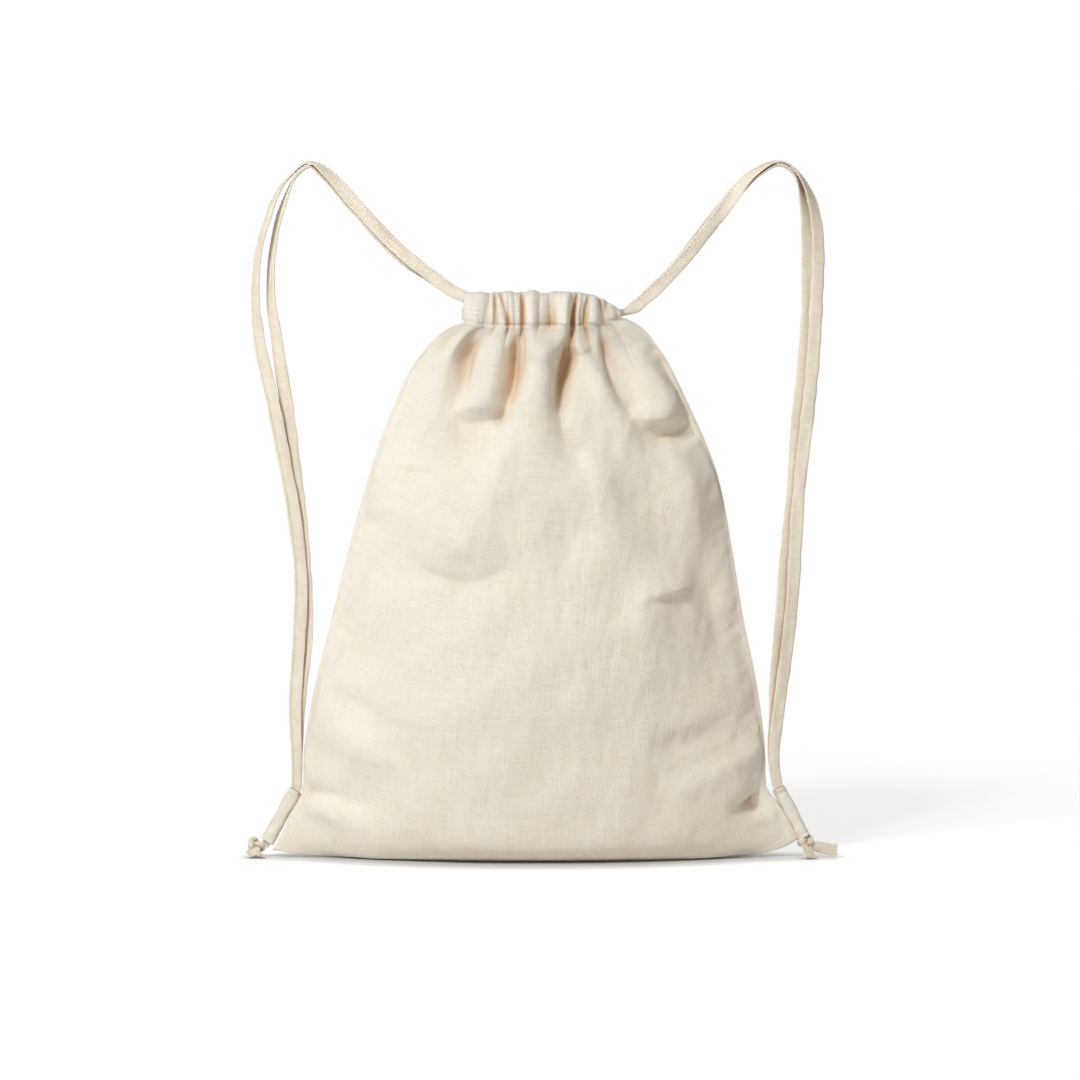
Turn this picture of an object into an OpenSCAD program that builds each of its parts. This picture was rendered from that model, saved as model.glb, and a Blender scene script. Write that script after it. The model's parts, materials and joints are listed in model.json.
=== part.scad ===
// Drawstring backpack: a stuffed canvas bag with a gathered mouth, two flat
// drawcords that double as shoulder straps, and a cord tab at each lower corner.
// Frame: +Z up, +X to the bag's right in front view, -Y to the front.
// Origin: middle of the bottom seam, on the floor. Units are millimetres.

/* [Bag] */
// Width across the two bottom corners
bag_w = 366; // [340:2:390]
// Depth of the filled body at its fullest
bag_d = 124; // [100:2:140]
// Thickness of the canvas
cloth_t = 1; // [0.6:0.1:1.4]

/* [Mouth] */
// Width of the mouth when it is drawn shut
mouth_w = 108; // [100:1:116]
// Height of the casing that holds the cords
casing_h = 24; // [22.5:0.5:26]
// Number of gathers on each side of the mouth
pleat_n = 11; // [8:1:12]

/* [Cords] */
// Width of the flat cord
tape_w = 9; // [7:0.5:9]
// Thickness of the flat cord
tape_t = 1.6; // [1:0.1:1.8]

/* [Tabs] */
// Width of the flattened tab sleeve
tab_w = 12; // [11.5:0.5:12.5]
// Thickness of the tab sleeve
tab_t = 6.2; // [5.8:0.1:6.6]
// Length of the left cord tails past the knot
left_tail = 2; // [1:0.5:6]
// Length of the right cord tails past the knot
right_tail = 13; // [6:1:16]

/* [Hidden] */

canvas = [0.90, 0.85, 0.76];
canvas_edge = [0.86, 0.80, 0.70];
thread = [0.95, 0.92, 0.84];
$fn = 32;

half_w = bag_w / 2;
half_d = bag_d / 2;
seam_gap = 0.15;                        // half the gap where front and back cloth meet
mouth_shift = 2.8;                      // the drawn mouth sits a little to the right

// Rows of the cloth from the bottom seam to the casing:
// [half width, sideways shift, depth, height at the middle, height at the side seam]
rows = [
    [half_w,       -2,           0,             0,     8],
    [half_w - 4,   -1.5,         half_d * 0.60, 0,    14],
    [half_w - 12,  -2,           half_d * 0.90, 13,   29],
    [half_w - 21.5, -3,          half_d * 0.98, 42,   46],
    [half_w - 23,  -3,           half_d,        80,   78],
    [half_w - 30,  -2,           half_d * 0.98, 122, 122],
    [half_w - 40,  -1,           half_d * 0.93, 165, 165],
    [half_w - 50,  1,            half_d * 0.84, 214, 214],
    [half_w - 62,  3,            half_d * 0.71, 265, 265],
    [half_w - 77,  2,            half_d * 0.56, 305, 305],
    [half_w - 93,  1,            half_d * 0.40, 337, 337],
    [mouth_w / 2 + 17, 1.8,      19.5,          359.5, 359.5],
    [mouth_w / 2 - 0.2, mouth_shift, 16,        368.5, 368.5]
];
split_row = 9;                          // the mouth halves bend open along this row
last_row = len(rows) - 1;
lens_power = 0.75;                      // roundness of a level section through the bag
flat_share = 0.6;                       // share of the width that rests flat on the floor
panel_cols = 40;
panel_rows = 30;
neck_cols = 66;
neck_rows = 12;
flute_n = 7;                            // folds that run down from the gathers
flute_depth = 3;

casing_z = rows[last_row][3] + 0.5;     // bottom edge of the casing
casing_wall = 1.6;                      // folded hem: two layers of cloth
tunnel_t = 4.4;
casing_t = tunnel_t + 2 * casing_wall;
casing_y = 4.4 + casing_t / 2;          // middle of the tunnel, from the bag's centre plane
tunnel_h = casing_h - 2 * casing_wall;
pleat_step = mouth_w / pleat_n;
outer_pleat_r = 0.44 * pleat_step;
inner_pleat_r = 0.34 * pleat_step;
upper_z = casing_z + casing_h / 2 + tunnel_h / 4;
lower_z = casing_z + casing_h / 2 - tunnel_h / 4;

exit_out = 4.5;                         // from the casing's end to the strap's swing axis
left_exit = [mouth_shift - mouth_w / 2 - exit_out, 0, upper_z];
right_exit = [mouth_shift + mouth_w / 2 + exit_out, 0, lower_z];
exit_squeeze = 0.55;                    // the cord narrows where it turns out of the casing

knot_scale = 2;                         // size of the trefoil that the knot follows
knot_swell = 3;                         // how far the trefoil weaves to the front and back
knot_r = 1.65;                          // radius of the bunched cord
knot_out = 3 * knot_scale + knot_r;     // outer radius of the knot
knot_drop = 9;                          // from the sleeve's foot to the middle of the knot
knot_z = knot_out + 0.3;                // the knots lie on the floor
tab_l = 36;
strand_gap = 3.2;                       // from the sleeve's mouth to the strap's end
web_w = 0.8;                            // the strip that joins the sleeve to the side seam

stitch_l = 2.4;
stitch_r = 0.4;
stitch_step = 4;
allowance = 8;                          // width of the sewn edges inside the bag

// Straps from the mouth to the tab: [x, z, twist, gap, spread]. Twist 0 faces
// the front. Gap and spread part the two strands across and along their width.
left_strap = [
    [left_exit.x, left_exit.z, 0, 3.2, 0],
    [-71, 400.5, 0, 2.4, 0],
    [-98, 421, 20, 3.4, 1],
    [-127, 452, 8, 2.6, 1],
    [-145, 472, 40, 2.6, 0],
    [-158, 480, 85, 2.6, 0],
    [-170, 471, 85, 4, 0],
    [-180, 452, 65, 8, 0],
    [-188, 422, 58, 10.5, 0],
    [-190.5, 394, 50, 11, 3],
    [-187, 357, 30, 9, 8],
    [-179.5, 317, 5, 4, 8.5],
    [-173, 276, -8, 3, 6.5],
    [-167, 234, -5, 2.6, 4],
    [-163.5, 193, 0, 2.4, 3],
    [-164, 151, 6, 2.4, 4.5],
    [-168, 109, 12, 2.4, 2],
    [-169, 72, 5, 2.2, 0]
];
right_strap = [
    [right_exit.x, right_exit.z, 0, 3.2, 0],
    [76, 390, 0, 2.4, 0],
    [97, 411.5, -8, 2.6, 0],
    [121, 442, -10, 2.6, 1],
    [137, 462.5, 25, 2.8, 1.5],
    [150, 474.5, 60, 2.6, 0],
    [167, 480.5, 88, 2.6, 0],
    [179.5, 470, 75, 3.4, 0],
    [187, 447, 35, 5, -4],
    [189, 420, 15, 5, -6],
    [188.5, 380, 5, 4, -5],
    [185.7, 338, 0, 3, -6],
    [181.5, 297, 0, 2.6, -6],
    [178, 255, -5, 2.6, -4],
    [174.6, 213, 5, 2.6, -5.5],
    [171.8, 172, 12, 2.6, -6],
    [167.5, 130, 15, 2.4, -4.5],
    [165, 98, 10, 2.4, -1.5],
    [164.5, 72, 5, 2.2, 0]
];
strap_steps = 5;                        // sections per control point

// ---- curves and skins ----------------------------------------------------

function spline(a, b, c, d, t) =
    0.5 * (2 * b + (c - a) * t + (2 * a - 5 * b + 4 * c - d) * t * t
           + (3 * b - a - 3 * c + d) * t * t * t);

// A smooth value along a list, s running from 0 to the last index
function along(list, s) =
    let (n = len(list) - 1, i = max(0, min(floor(s), n - 1)), t = s - i)
    spline(list[max(i - 1, 0)], list[i], list[i + 1], list[min(i + 2, n)], t);

// A point of the front cloth: s picks the row, u runs from -1 to 1 across,
// inset moves it inwards from the outer face
function skin(s, u, inset, flute) =
    let (
        r = along(rows, s),
        edge = pow(max(0, (abs(u) - flat_share) / (1 - flat_share)), 2),
        lens = pow(max(0, 1 - u * u), lens_power),
        fold = flute * (1 - u * u) * cos(360 * flute_n * u / 2),
        floor_lift = inset * max(0, min(1, (3 - s) / 2))
    )
    [
        r[1] + u * (r[0] - inset),
        -seam_gap - max(0, r[2] - inset) * lens - fold,
        max(0, r[3] + (r[4] - r[3]) * edge) + floor_lift
    ];

// A closed shell from two matching grids of points, each nr by nc
module shell(outer, inner, nr, nc) {
    size = nr * nc;
    quads = [for (i = [0:nr - 2], j = [0:nc - 2]) [i * nc + j, i * nc + j + 1,
                                                   (i + 1) * nc + j + 1, (i + 1) * nc + j]];
    rim = concat(
        [for (j = [0:nc - 2]) [j, j + 1]],
        [for (i = [0:nr - 2]) [i * nc + nc - 1, (i + 1) * nc + nc - 1]],
        [for (j = [nc - 1:-1:1]) [(nr - 1) * nc + j, (nr - 1) * nc + j - 1]],
        [for (i = [nr - 1:-1:1]) [i * nc, (i - 1) * nc]]
    );
    faces = concat(
        [for (q = quads) [q[0], q[2], q[1]]],
        [for (q = quads) [q[0], q[3], q[2]]],
        [for (q = quads) [q[0] + size, q[1] + size, q[2] + size]],
        [for (q = quads) [q[0] + size, q[2] + size, q[3] + size]],
        [for (e = rim) [e[0], e[1], e[1] + size]],
        [for (e = rim) [e[0], e[1] + size, e[0] + size]]
    );
    polyhedron(points = concat(outer, inner), faces = faces, convexity = 8);
}

// The front cloth between two rows
module cloth(from, to, nr, nc, flute) {
    grid = function (inset) [
        for (i = [0:nr - 1], j = [0:nc - 1])
            let (s = from + (to - from) * i / (nr - 1))
            skin(s, -cos(180 * j / (nc - 1)) * 0.5 + (j / (nc - 1) - 0.5), inset,
                 flute * i / (nr - 1))
    ];
    shell(grid(0), grid(cloth_t), nr, nc);
}

// A closed strip of flat cord through sections [centre, width direction, thickness direction]
module ribbon(sections, w, t) {
    n = len(sections);
    corners = [for (s = sections, c = [[-1, -1], [1, -1], [1, 1], [-1, 1]])
        s[0] + s[1] * c[0] * w / 2 + s[2] * c[1] * t / 2];
    sides = [for (i = [0:n - 2], k = [0:3]) let (a = i * 4 + k, b = i * 4 + (k + 1) % 4)
        [a, b, b + 4, a + 4]];
    faces = concat(
        [for (q = sides) [q[0], q[2], q[1]]],
        [for (q = sides) [q[0], q[3], q[2]]],
        [[0, 1, 2], [0, 2, 3]],
        [[4 * n - 4, 4 * n - 2, 4 * n - 3], [4 * n - 4, 4 * n - 1, 4 * n - 2]]
    );
    polyhedron(points = corners, faces = faces, convexity = 8);
}

function unit(v) = v / norm(v);

// The sections of one strand: side is 1 for the front strand and -1 for the back one
function strand_sections(strap, side) =
    let (last = len(strap) - 1, n = last * strap_steps)
    [for (i = [0:n])
        let (
            s = i / strap_steps,
            p = along(strap, s),
            q0 = along(strap, max(s - 0.1, 0)),
            q1 = along(strap, min(s + 0.1, last)),
            heading = unit([q1[0] - q0[0], 0, q1[1] - q0[1]]),
            in_plane = cross([0, 1, 0], heading),
            turn = p[2] * (strap[0].x < 0 ? 1 : -1),
            wide = in_plane * cos(turn) + [0, 1, 0] * sin(turn),
            thick = cross(heading, wide),
            squeeze = min(1, exit_squeeze + (1 - exit_squeeze) * s)
        )
        [[p[0], 0, p[1]] + side * (wide * p[4] - thick * p[3]) / 2, wide * squeeze, thick]];

// ---- frames that the sub-parts share -------------------------------------

// The lean of each tab from upright, and how far out its knot lies
function lean(side) = side < 0 ? 32 : 25;
function knot_x(side) = half_w + (side < 0 ? 12.5 : 5.5);

// A point up the sleeve of a tab, measured from the middle of its knot: [x, z]
function tab_point(side, up) =
    [side * (knot_x(side) - up * sin(lean(side))), knot_z + up * cos(lean(side))];

// Places its children in the tab's frame on the left (side -1) or right (side 1):
// origin at the sleeve's foot, +Z up the sleeve, +X towards the bag
module at_tab(side) {
    foot = tab_point(side, knot_drop);
    translate([foot.x, 0, foot.y])
        mirror([side > 0 ? 1 : 0, 0, 0])
            rotate([0, lean(side), 0])
                children();
}

module in_back() {
    mirror([0, 1, 0]) children();
}

module strand(strap, side) {
    top = tab_point(sign(strap[0].x), knot_drop + tab_l + strand_gap);
    ribbon(strand_sections(concat(strap, [[top.x, top.y, 0, 2.2, 0]]), side), tape_w, tape_t);
}

module run(z) {
    translate([mouth_shift - mouth_w / 2, -casing_y - tape_t / 2, z - tape_w / 2])
        cube([mouth_w, tape_t, tape_w]);
}

module rounded(w, h, r) {
    square([w - 2 * r, h], center = true);
    square([w, h - 2 * r], center = true);
    for (x = [-1, 1], y = [-1, 1])
        translate([x * (w / 2 - r), y * (h / 2 - r)])
            circle(r = r);
}

turn_out = 2.6;                         // how far the return stands out of the casing
turn_r = 2;

// A cord's return from the front casing to the back one, past the side vent.
// The cord bunches up there, as it does where a strap leaves the casing.
module turn(x, z, side) {
    translate([x + side * 0.3, 0, z - tape_w * exit_squeeze / 2])
        linear_extrude(height = tape_w * exit_squeeze)
            intersection() {
                difference() {
                    rounded(2 * turn_out, 2 * casing_y + tape_t, turn_r);
                    rounded(2 * (turn_out - tape_t), 2 * casing_y - tape_t, turn_r - tape_t);
                }
                translate([side * turn_out, 0])
                    square([2 * turn_out, 4 * casing_y], center = true);
            }
}

// ---- cloth ---------------------------------------------------------------

module panel() {
    color(canvas)
        cloth(0, split_row - 0.005, panel_rows, panel_cols, 0);
}

module neck() {
    color(canvas)
        cloth(split_row, last_row, neck_rows, neck_cols, flute_depth);
}

module casing() {
    color(canvas)
        difference() {
            translate([mouth_shift, -casing_y, casing_z]) {
                translate([0, 0, casing_h / 2])
                    rotate([90, 0, 90])
                        linear_extrude(height = mouth_w, center = true)
                            rounded(casing_t, casing_h, casing_wall);
                for (i = [0:pleat_n - 1])
                    translate([pleat_step * (i + 0.5) - mouth_w / 2, -casing_t / 2, (i % 3) * 0.7])
                        cylinder(r = outer_pleat_r, h = casing_h - 1.5);
                for (i = [1:pleat_n - 1])
                    translate([pleat_step * i - mouth_w / 2, casing_t / 2, 0])
                        cylinder(r = inner_pleat_r, h = casing_h - 1);
            }
            translate([mouth_shift - mouth_w / 2 - 1, -casing_y - tunnel_t / 2,
                       casing_z + casing_wall])
                cube([mouth_w + 2, tunnel_t, tunnel_h]);
        }
}

// One stitch on the crest of each gather
module casing_stitches() {
    color(thread)
        for (i = [0:pleat_n - 1])
            translate([mouth_shift + pleat_step * (i + 0.5) - mouth_w / 2 - stitch_l / 2,
                       -casing_y - casing_t / 2 - outer_pleat_r - stitch_r - 0.05, casing_z + 3])
                rotate([0, 90, 0])
                    cylinder(r = stitch_r, h = stitch_l);
}

// ---- seams inside the bag --------------------------------------------------

seam_from = 3;
seam_to = split_row - 0.2;
seam_sections = 24;

// The side edge of the cloth at a row, moved inwards
function side_edge(s, inset, side) =
    let (r = along(rows, s))
    [r[1] + side * (r[0] - inset), 0, r[4]];

module side_seam(side) {
    color(canvas_edge)
        ribbon([for (i = [0:seam_sections])
            let (s = seam_from + (seam_to - seam_from) * i / seam_sections)
            [side_edge(s, cloth_t + 0.5 + allowance / 2, side), [1, 0, 0], [0, 1, 0]]],
            allowance, 1.2);
}

module side_seam_stitches(side) {
    color(thread)
        for (s = [seam_from + 0.15:0.15:seam_to - 0.1]) {
            along_edge = side_edge(s + 0.05, 0, side) - side_edge(s - 0.05, 0, side);
            translate(side_edge(s, cloth_t + 3, side) + [0, -0.6 - stitch_r - 0.05, 0])
                rotate([0, atan2(along_edge.x, along_edge.z), 0])
                    translate([0, 0, -stitch_l / 2])
                        cylinder(r = stitch_r, h = stitch_l);
        }
}

bottom_seam_w = flat_share * bag_w;

module bottom_seam() {
    color(canvas_edge)
        translate([-bottom_seam_w / 2, -0.6, cloth_t + 0.5])
            cube([bottom_seam_w, 1.2, allowance]);
}

module bottom_seam_stitches() {
    count = floor(bottom_seam_w / stitch_step) - 1;
    color(thread)
        for (i = [0:count - 1])
            translate([(i - (count - 1) / 2) * stitch_step - stitch_l / 2,
                       -0.6 - stitch_r - 0.05, cloth_t + 3.5])
                rotate([0, 90, 0])
                    cylinder(r = stitch_r, h = stitch_l);
}

// ---- tabs and knots ----------------------------------------------------------

sleeve_wall = 1;

module tab(side) {
    color(canvas)
        at_tab(side) {
            linear_extrude(height = tab_l)
                difference() {
                    rounded(tab_w, tab_t, tab_t / 2 - 0.4);
                    square([tab_w - 2 * sleeve_wall, tab_t - 2 * sleeve_wall], center = true);
                }
            translate([tab_w / 2 - sleeve_wall / 2, -sleeve_wall, 3])
                cube([web_w + sleeve_wall / 2, 2 * sleeve_wall, tab_l - 6]);
        }
}

module tab_stitches(side) {
    color(thread)
        at_tab(side)
            for (face = [-1, 1], i = [-1:1])
                translate([i * 3 - 1.1, face * (tab_t / 2 + stitch_r + 0.05), tab_l - 3.5])
                    rotate([0, 90, 0])
                        cylinder(r = stitch_r, h = 2.2);
}

module tab_cords(side) {
    color(canvas)
        at_tab(side)
            for (face = [-1, 1])
                translate([-tape_w / 2, face * 1.05 - tape_t / 2 * 0.95, 1])
                    cube([tape_w, tape_t * 0.95, tab_l - 1.5]);
}

knot_steps = 72;
knot_sides = 8;

function trefoil(a) = [
    knot_scale * (sin(a) + 2 * sin(2 * a)),
    -knot_swell * sin(3 * a),
    knot_scale * (cos(a) - 2 * cos(2 * a))
];

module knot(side) {
    points = [for (i = [0:knot_steps - 1], k = [0:knot_sides - 1])
        let (
            a = 360 * i / knot_steps,
            heading = unit(trefoil(a + 1) - trefoil(a - 1)),
            across = unit(cross(heading, [0, 1, 0])),
            up = cross(across, heading),
            b = 360 * k / knot_sides
        )
        trefoil(a) + knot_r * (across * cos(b) + up * sin(b))];
    quads = [for (i = [0:knot_steps - 1], k = [0:knot_sides - 1])
        let (j = (i + 1) % knot_steps, m = (k + 1) % knot_sides)
        [i * knot_sides + k, i * knot_sides + m, j * knot_sides + m, j * knot_sides + k]];
    color(canvas)
        at_tab(side)
            translate([0, 0, -knot_drop])
                polyhedron(points = points, faces = concat(
                    [for (q = quads) [q[0], q[1], q[2]]],
                    [for (q = quads) [q[0], q[2], q[3]]]), convexity = 8);
}

// Two cut ends that leave the knot sideways, a little apart
module tails(side, length) {
    middle = tab_point(side, 0);
    color(canvas)
        translate([middle.x, 0, middle.y])
            mirror([side < 0 ? 1 : 0, 0, 0])
                for (face = [-1, 1])
                    translate([0, face * 2.2, -0.5])
                        rotate([0, face * 5 + 3, 0])
                            translate([0, -tape_t / 2, -tape_w * 0.4])
                                cube([knot_out + length, tape_t, tape_w * 0.8]);
}

// ---- output --------------------------------------------------------------------

panel();  // front_panel
in_back() panel();  // back_panel
neck();  // front_neck
in_back() neck();  // back_neck
casing();  // front_casing
in_back() casing();  // back_casing
casing_stitches();  // front_casing_stitches
in_back() casing_stitches();  // back_casing_stitches
side_seam(-1);  // left_side_seam
side_seam(1);  // right_side_seam
bottom_seam();
side_seam_stitches(-1);  // left_seam_stitches
side_seam_stitches(1);  // right_seam_stitches
bottom_seam_stitches();
color(canvas) run(upper_z);  // left_cord_front_run
in_back() color(canvas) run(upper_z);  // left_cord_back_run
color(canvas) turn(mouth_shift + mouth_w / 2, upper_z, 1);  // left_cord_turn
color(canvas) run(lower_z);  // right_cord_front_run
in_back() color(canvas) run(lower_z);  // right_cord_back_run
color(canvas) turn(mouth_shift - mouth_w / 2, lower_z, -1);  // right_cord_turn
color(canvas) strand(left_strap, 1);  // left_front_strand
color(canvas) strand(left_strap, -1);  // left_back_strand
color(canvas) strand(right_strap, 1);  // right_front_strand
color(canvas) strand(right_strap, -1);  // right_back_strand
tab(-1);  // left_tab
tab(1);  // right_tab
tab_stitches(-1);  // left_tab_stitches
tab_stitches(1);  // right_tab_stitches
tab_cords(-1);  // left_tab_cords
tab_cords(1);  // right_tab_cords
knot(-1);  // left_knot
knot(1);  // right_knot
tails(-1, left_tail);  // left_tails
tails(1, right_tail);  // right_tails
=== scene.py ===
"""Drawstring backpack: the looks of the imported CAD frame.

Every place and size comes from the frame. Lengths in this file are millimetres unless a name
or comment says otherwise; make_object turns them into metres.
"""
import json
import math

import bpy
import numpy as np
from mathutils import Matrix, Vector
from mathutils.bvhtree import BVHTree


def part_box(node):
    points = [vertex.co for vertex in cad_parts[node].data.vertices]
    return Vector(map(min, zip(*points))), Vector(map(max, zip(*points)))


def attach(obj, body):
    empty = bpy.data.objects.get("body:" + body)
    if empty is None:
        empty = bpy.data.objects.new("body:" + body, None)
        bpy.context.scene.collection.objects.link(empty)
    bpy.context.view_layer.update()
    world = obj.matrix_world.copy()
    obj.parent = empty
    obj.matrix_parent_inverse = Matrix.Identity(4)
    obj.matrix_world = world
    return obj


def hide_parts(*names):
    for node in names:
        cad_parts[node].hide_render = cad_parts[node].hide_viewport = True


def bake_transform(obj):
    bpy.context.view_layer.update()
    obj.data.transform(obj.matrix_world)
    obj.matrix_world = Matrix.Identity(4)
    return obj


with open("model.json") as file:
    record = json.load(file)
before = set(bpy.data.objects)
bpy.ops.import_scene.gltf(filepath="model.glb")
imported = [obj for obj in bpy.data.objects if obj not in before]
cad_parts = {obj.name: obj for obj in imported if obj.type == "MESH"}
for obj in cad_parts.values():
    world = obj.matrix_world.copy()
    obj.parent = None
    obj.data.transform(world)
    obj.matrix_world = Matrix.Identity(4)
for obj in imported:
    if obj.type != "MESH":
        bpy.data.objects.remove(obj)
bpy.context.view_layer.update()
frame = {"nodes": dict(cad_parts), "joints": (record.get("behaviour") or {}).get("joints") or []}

MM = 0.001
TWO_PI = 2 * math.pi
UPRIGHT = np.array([0, 0, 1.0])
FORWARD = np.array([0, -1.0, 0])
SIDES = {-1: "left", 1: "right"}    # the sign of x and the side's name, seen from the front


# ---- small tools ----

def smooth(a, b, x):
    """0 below a, 1 above b, and an S-curve between them."""
    t = np.clip((np.asarray(x, float) - a) / (b - a), 0, 1)
    return t * t * (3 - 2 * t)


def mix(a, b, w):
    return a + (b - a) * w


def bell(x, middle, width):
    return np.exp(-((x - middle) / width) ** 2)


def signed_power(x, power):
    return np.sign(x) * np.abs(x) ** power


def unit(v):
    return v / np.maximum(np.linalg.norm(v, axis=-1, keepdims=True), 1e-9)


def box_mm(node):
    lo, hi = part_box(node)
    return np.array(lo) / MM, np.array(hi) / MM


def joint(name):
    """A joint of the frame: where it is, and its axis."""
    found = next(j for j in frame["joints"] if j["name"] == name)
    return np.array(found["pos_m"]) / MM, unit(np.array(found["axis"], float))


def waves(x, y, shortest, longest, count, seed):
    """Smooth random ripples of unit size: a sum of plane waves between two wavelengths."""
    rng = np.random.default_rng(seed)
    out = np.zeros(np.broadcast(x, y).shape)
    for _ in range(count):
        length = math.exp(rng.uniform(math.log(shortest), math.log(longest)))
        angle = rng.uniform(0, math.pi)
        phase = rng.uniform(0, TWO_PI)
        kx, ky = math.cos(angle) * TWO_PI / length, math.sin(angle) * TWO_PI / length
        out += np.sin(kx * x + ky * y + phase)
    return out / math.sqrt(count / 2)


def spline(points, per_span):
    """A smooth curve through rows of numbers, per_span steps between neighbours."""
    p = np.asarray(points, float)
    p = np.vstack([2 * p[0] - p[1], p, 2 * p[-1] - p[-2]])
    out = []
    for before, a, b, after in zip(p, p[1:], p[2:], p[3:]):
        for t in np.arange(per_span) / per_span:
            out.append(0.5 * (2 * a + (b - before) * t + (2 * before - 5 * a + 4 * b - after) * t * t
                              + (3 * a - before - 3 * b + after) * t ** 3))
    return np.array(out + [p[-2]])


def lengths(points):
    """Distance along a row of points, from 0."""
    steps = np.linalg.norm(np.diff(points, axis=0), axis=1)
    return np.concatenate([[0], np.cumsum(steps)])


def grid_faces(rows, cols, wrap=False, flip=False):
    i = np.arange(rows - 1)[:, None] * cols
    j = np.arange(cols if wrap else cols - 1)[None, :]
    k = (j + 1) % cols
    quads = np.stack([i + j, i + k, i + cols + k, i + cols + j], -1).reshape(-1, 4)
    return quads[:, ::-1] if flip else quads


def grid_uv(across, along):
    return np.stack(np.meshgrid(across, along), -1).reshape(-1, 2)


def joined(parts):
    """Several pairs of points and faces as one pair."""
    faces, base = [], 0
    for points, own_faces in parts:
        faces += [[base + i for i in face] for face in own_faces]
        base += len(points)
    return np.concatenate([points for points, _ in parts]), faces


def add_object(name, data):
    obj = bpy.data.objects.new(name, data)
    bpy.context.scene.collection.objects.link(obj)
    return obj


def make_object(name, points, faces, materials, uv=None, face_material=None):
    """A smooth mesh object; uv holds one pair per point, in millimetres."""
    mesh = bpy.data.meshes.new(name)
    mesh.from_pydata((np.asarray(points) * MM).tolist(), [], [list(map(int, f)) for f in faces])
    for m in materials:
        mesh.materials.append(m)
    if face_material is not None:
        mesh.polygons.foreach_set("material_index", np.asarray(face_material, np.int32))
    mesh.polygons.foreach_set("use_smooth", np.ones(len(mesh.polygons), bool))
    if uv is not None:
        layer = mesh.uv_layers.new(name="cloth")
        index = np.empty(len(mesh.loops), np.int32)
        mesh.loops.foreach_get("vertex_index", index)
        layer.data.foreach_set("uv", np.asarray(uv, np.float32)[index].ravel())
    mesh.validate()
    return add_object(name, mesh)


def thicken(obj, thickness):
    solid = obj.modifiers.new("thickness", "SOLIDIFY")
    solid.thickness = thickness * MM
    solid.offset = -1


def mount(obj, body, slot, *nodes):
    """Fix a piece to its body, or bake it in place if the body is a half of the mouth, in place of CAD
    nodes.
    """
    if body.endswith("_lip"):
        on_lip(obj)
    else:
        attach(obj, body)
    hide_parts(*nodes)


# ---- materials ----

class Nodes:
    """Short names for building a node tree. Values are numbers or node outputs."""

    def __init__(self, tree):
        self.tree = tree

    def add(self, kind, **settings):
        node = self.tree.nodes.new(kind)
        for key, value in settings.items():
            if hasattr(node, key):
                setattr(node, key, value)
            else:
                self.put(value, node.inputs[key.replace("_", " ")])
        return node

    def link(self, a, b):
        self.tree.links.new(a, b)

    def put(self, value, socket):
        """Link an output to an input, or set the input to a number or a colour."""
        if isinstance(value, bpy.types.NodeSocket):
            self.link(value, socket)
        elif socket.type == "RGBA":
            socket.default_value = (*value[:3], 1)
        else:
            socket.default_value = value

    def math(self, operation, a, b=0.0, c=0.5, clamp=False):
        node = self.add("ShaderNodeMath", operation=operation, use_clamp=clamp)
        for value, socket in zip((a, b, c), node.inputs):
            self.put(value, socket)
        return node.outputs[0]

    def times(self, a, b, clamp=False):
        return self.math("MULTIPLY", a, b, clamp=clamp)

    def minus(self, a, b, clamp=False):
        return self.math("SUBTRACT", a, b, clamp=clamp)

    def total(self, first, *others):
        for value in others:
            first = self.math("ADD", first, value)
        return first

    def place(self):
        return self.add("ShaderNodeTexCoord").outputs["Object"]

    def split(self, vector):
        return self.add("ShaderNodeSeparateXYZ", Vector=vector).outputs

    def noise(self, vector, scale, detail=2.0, roughness=0.5):
        return self.add("ShaderNodeTexNoise", Vector=vector, Scale=scale, Detail=detail,
                        Roughness=roughness).outputs["Fac"]

    def stretched(self, vector, x, y):
        node = self.add("ShaderNodeVectorMath", operation="MULTIPLY")
        self.link(vector, node.inputs[0])
        node.inputs[1].default_value = (x, y, 1.0)
        return node.outputs[0]

    def ramp(self, value, *stops):
        node = self.add("ShaderNodeValToRGB", Fac=value)
        elements = node.color_ramp.elements
        while len(elements) < len(stops):
            elements.new(0.5)
        for element, (at, colour) in zip(elements, stops):
            element.position = at
            element.color = (*colour, 1)
        return node.outputs[0]

    def tint(self, factor, a, b):
        """Colour a where the factor is 0, b where it is 1."""
        node = self.add("ShaderNodeMix", data_type="RGBA", Factor=factor)
        self.put(a, node.inputs[6])
        self.put(b, node.inputs[7])
        return node.outputs[2]

    def shader_mix(self, factor, a, b):
        node = self.add("ShaderNodeMixShader")
        for value, socket in zip((factor, a, b), node.inputs):
            self.put(value, socket)
        return node.outputs[0]


class Material(Nodes):
    """A new material and the nodes in it."""

    def __init__(self, name):
        self.material = bpy.data.materials.new(name)
        self.material.use_nodes = True
        super().__init__(self.material.node_tree)

    def threads(self, at, pitch):
        """A cosine that changes sign from one thread to the next."""
        return self.math("COSINE", self.times(at, math.pi / pitch))

    def finish(self, colour, roughness, relief, strength, depth, **settings):
        """The surface: its colour, and a bump from the relief with its depth in metres."""
        bump = self.add("ShaderNodeBump", Strength=strength, Distance=depth, Height=relief)
        bsdf = self.tree.nodes["Principled BSDF"]
        settings.update(Base_Color=colour, Roughness=roughness, Normal=bump.outputs[0])
        for key, value in settings.items():
            self.put(value, bsdf.inputs[key.replace("_", " ")])
        return self.material


CREAM = (0.89, 0.845, 0.76)
TAN = (0.73, 0.63, 0.48)
CORD_CREAM = (0.80, 0.74, 0.63)
CORD_TAN = (0.61, 0.525, 0.39)
THREAD_CREAM = (0.88, 0.83, 0.72)
SEED_BROWN = (0.46, 0.33, 0.19)
# painted light: the casing's colour is tinted towards this whiter tone
CASING_PAINTED_LIGHT = (0.97, 0.94, 0.87)
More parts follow.
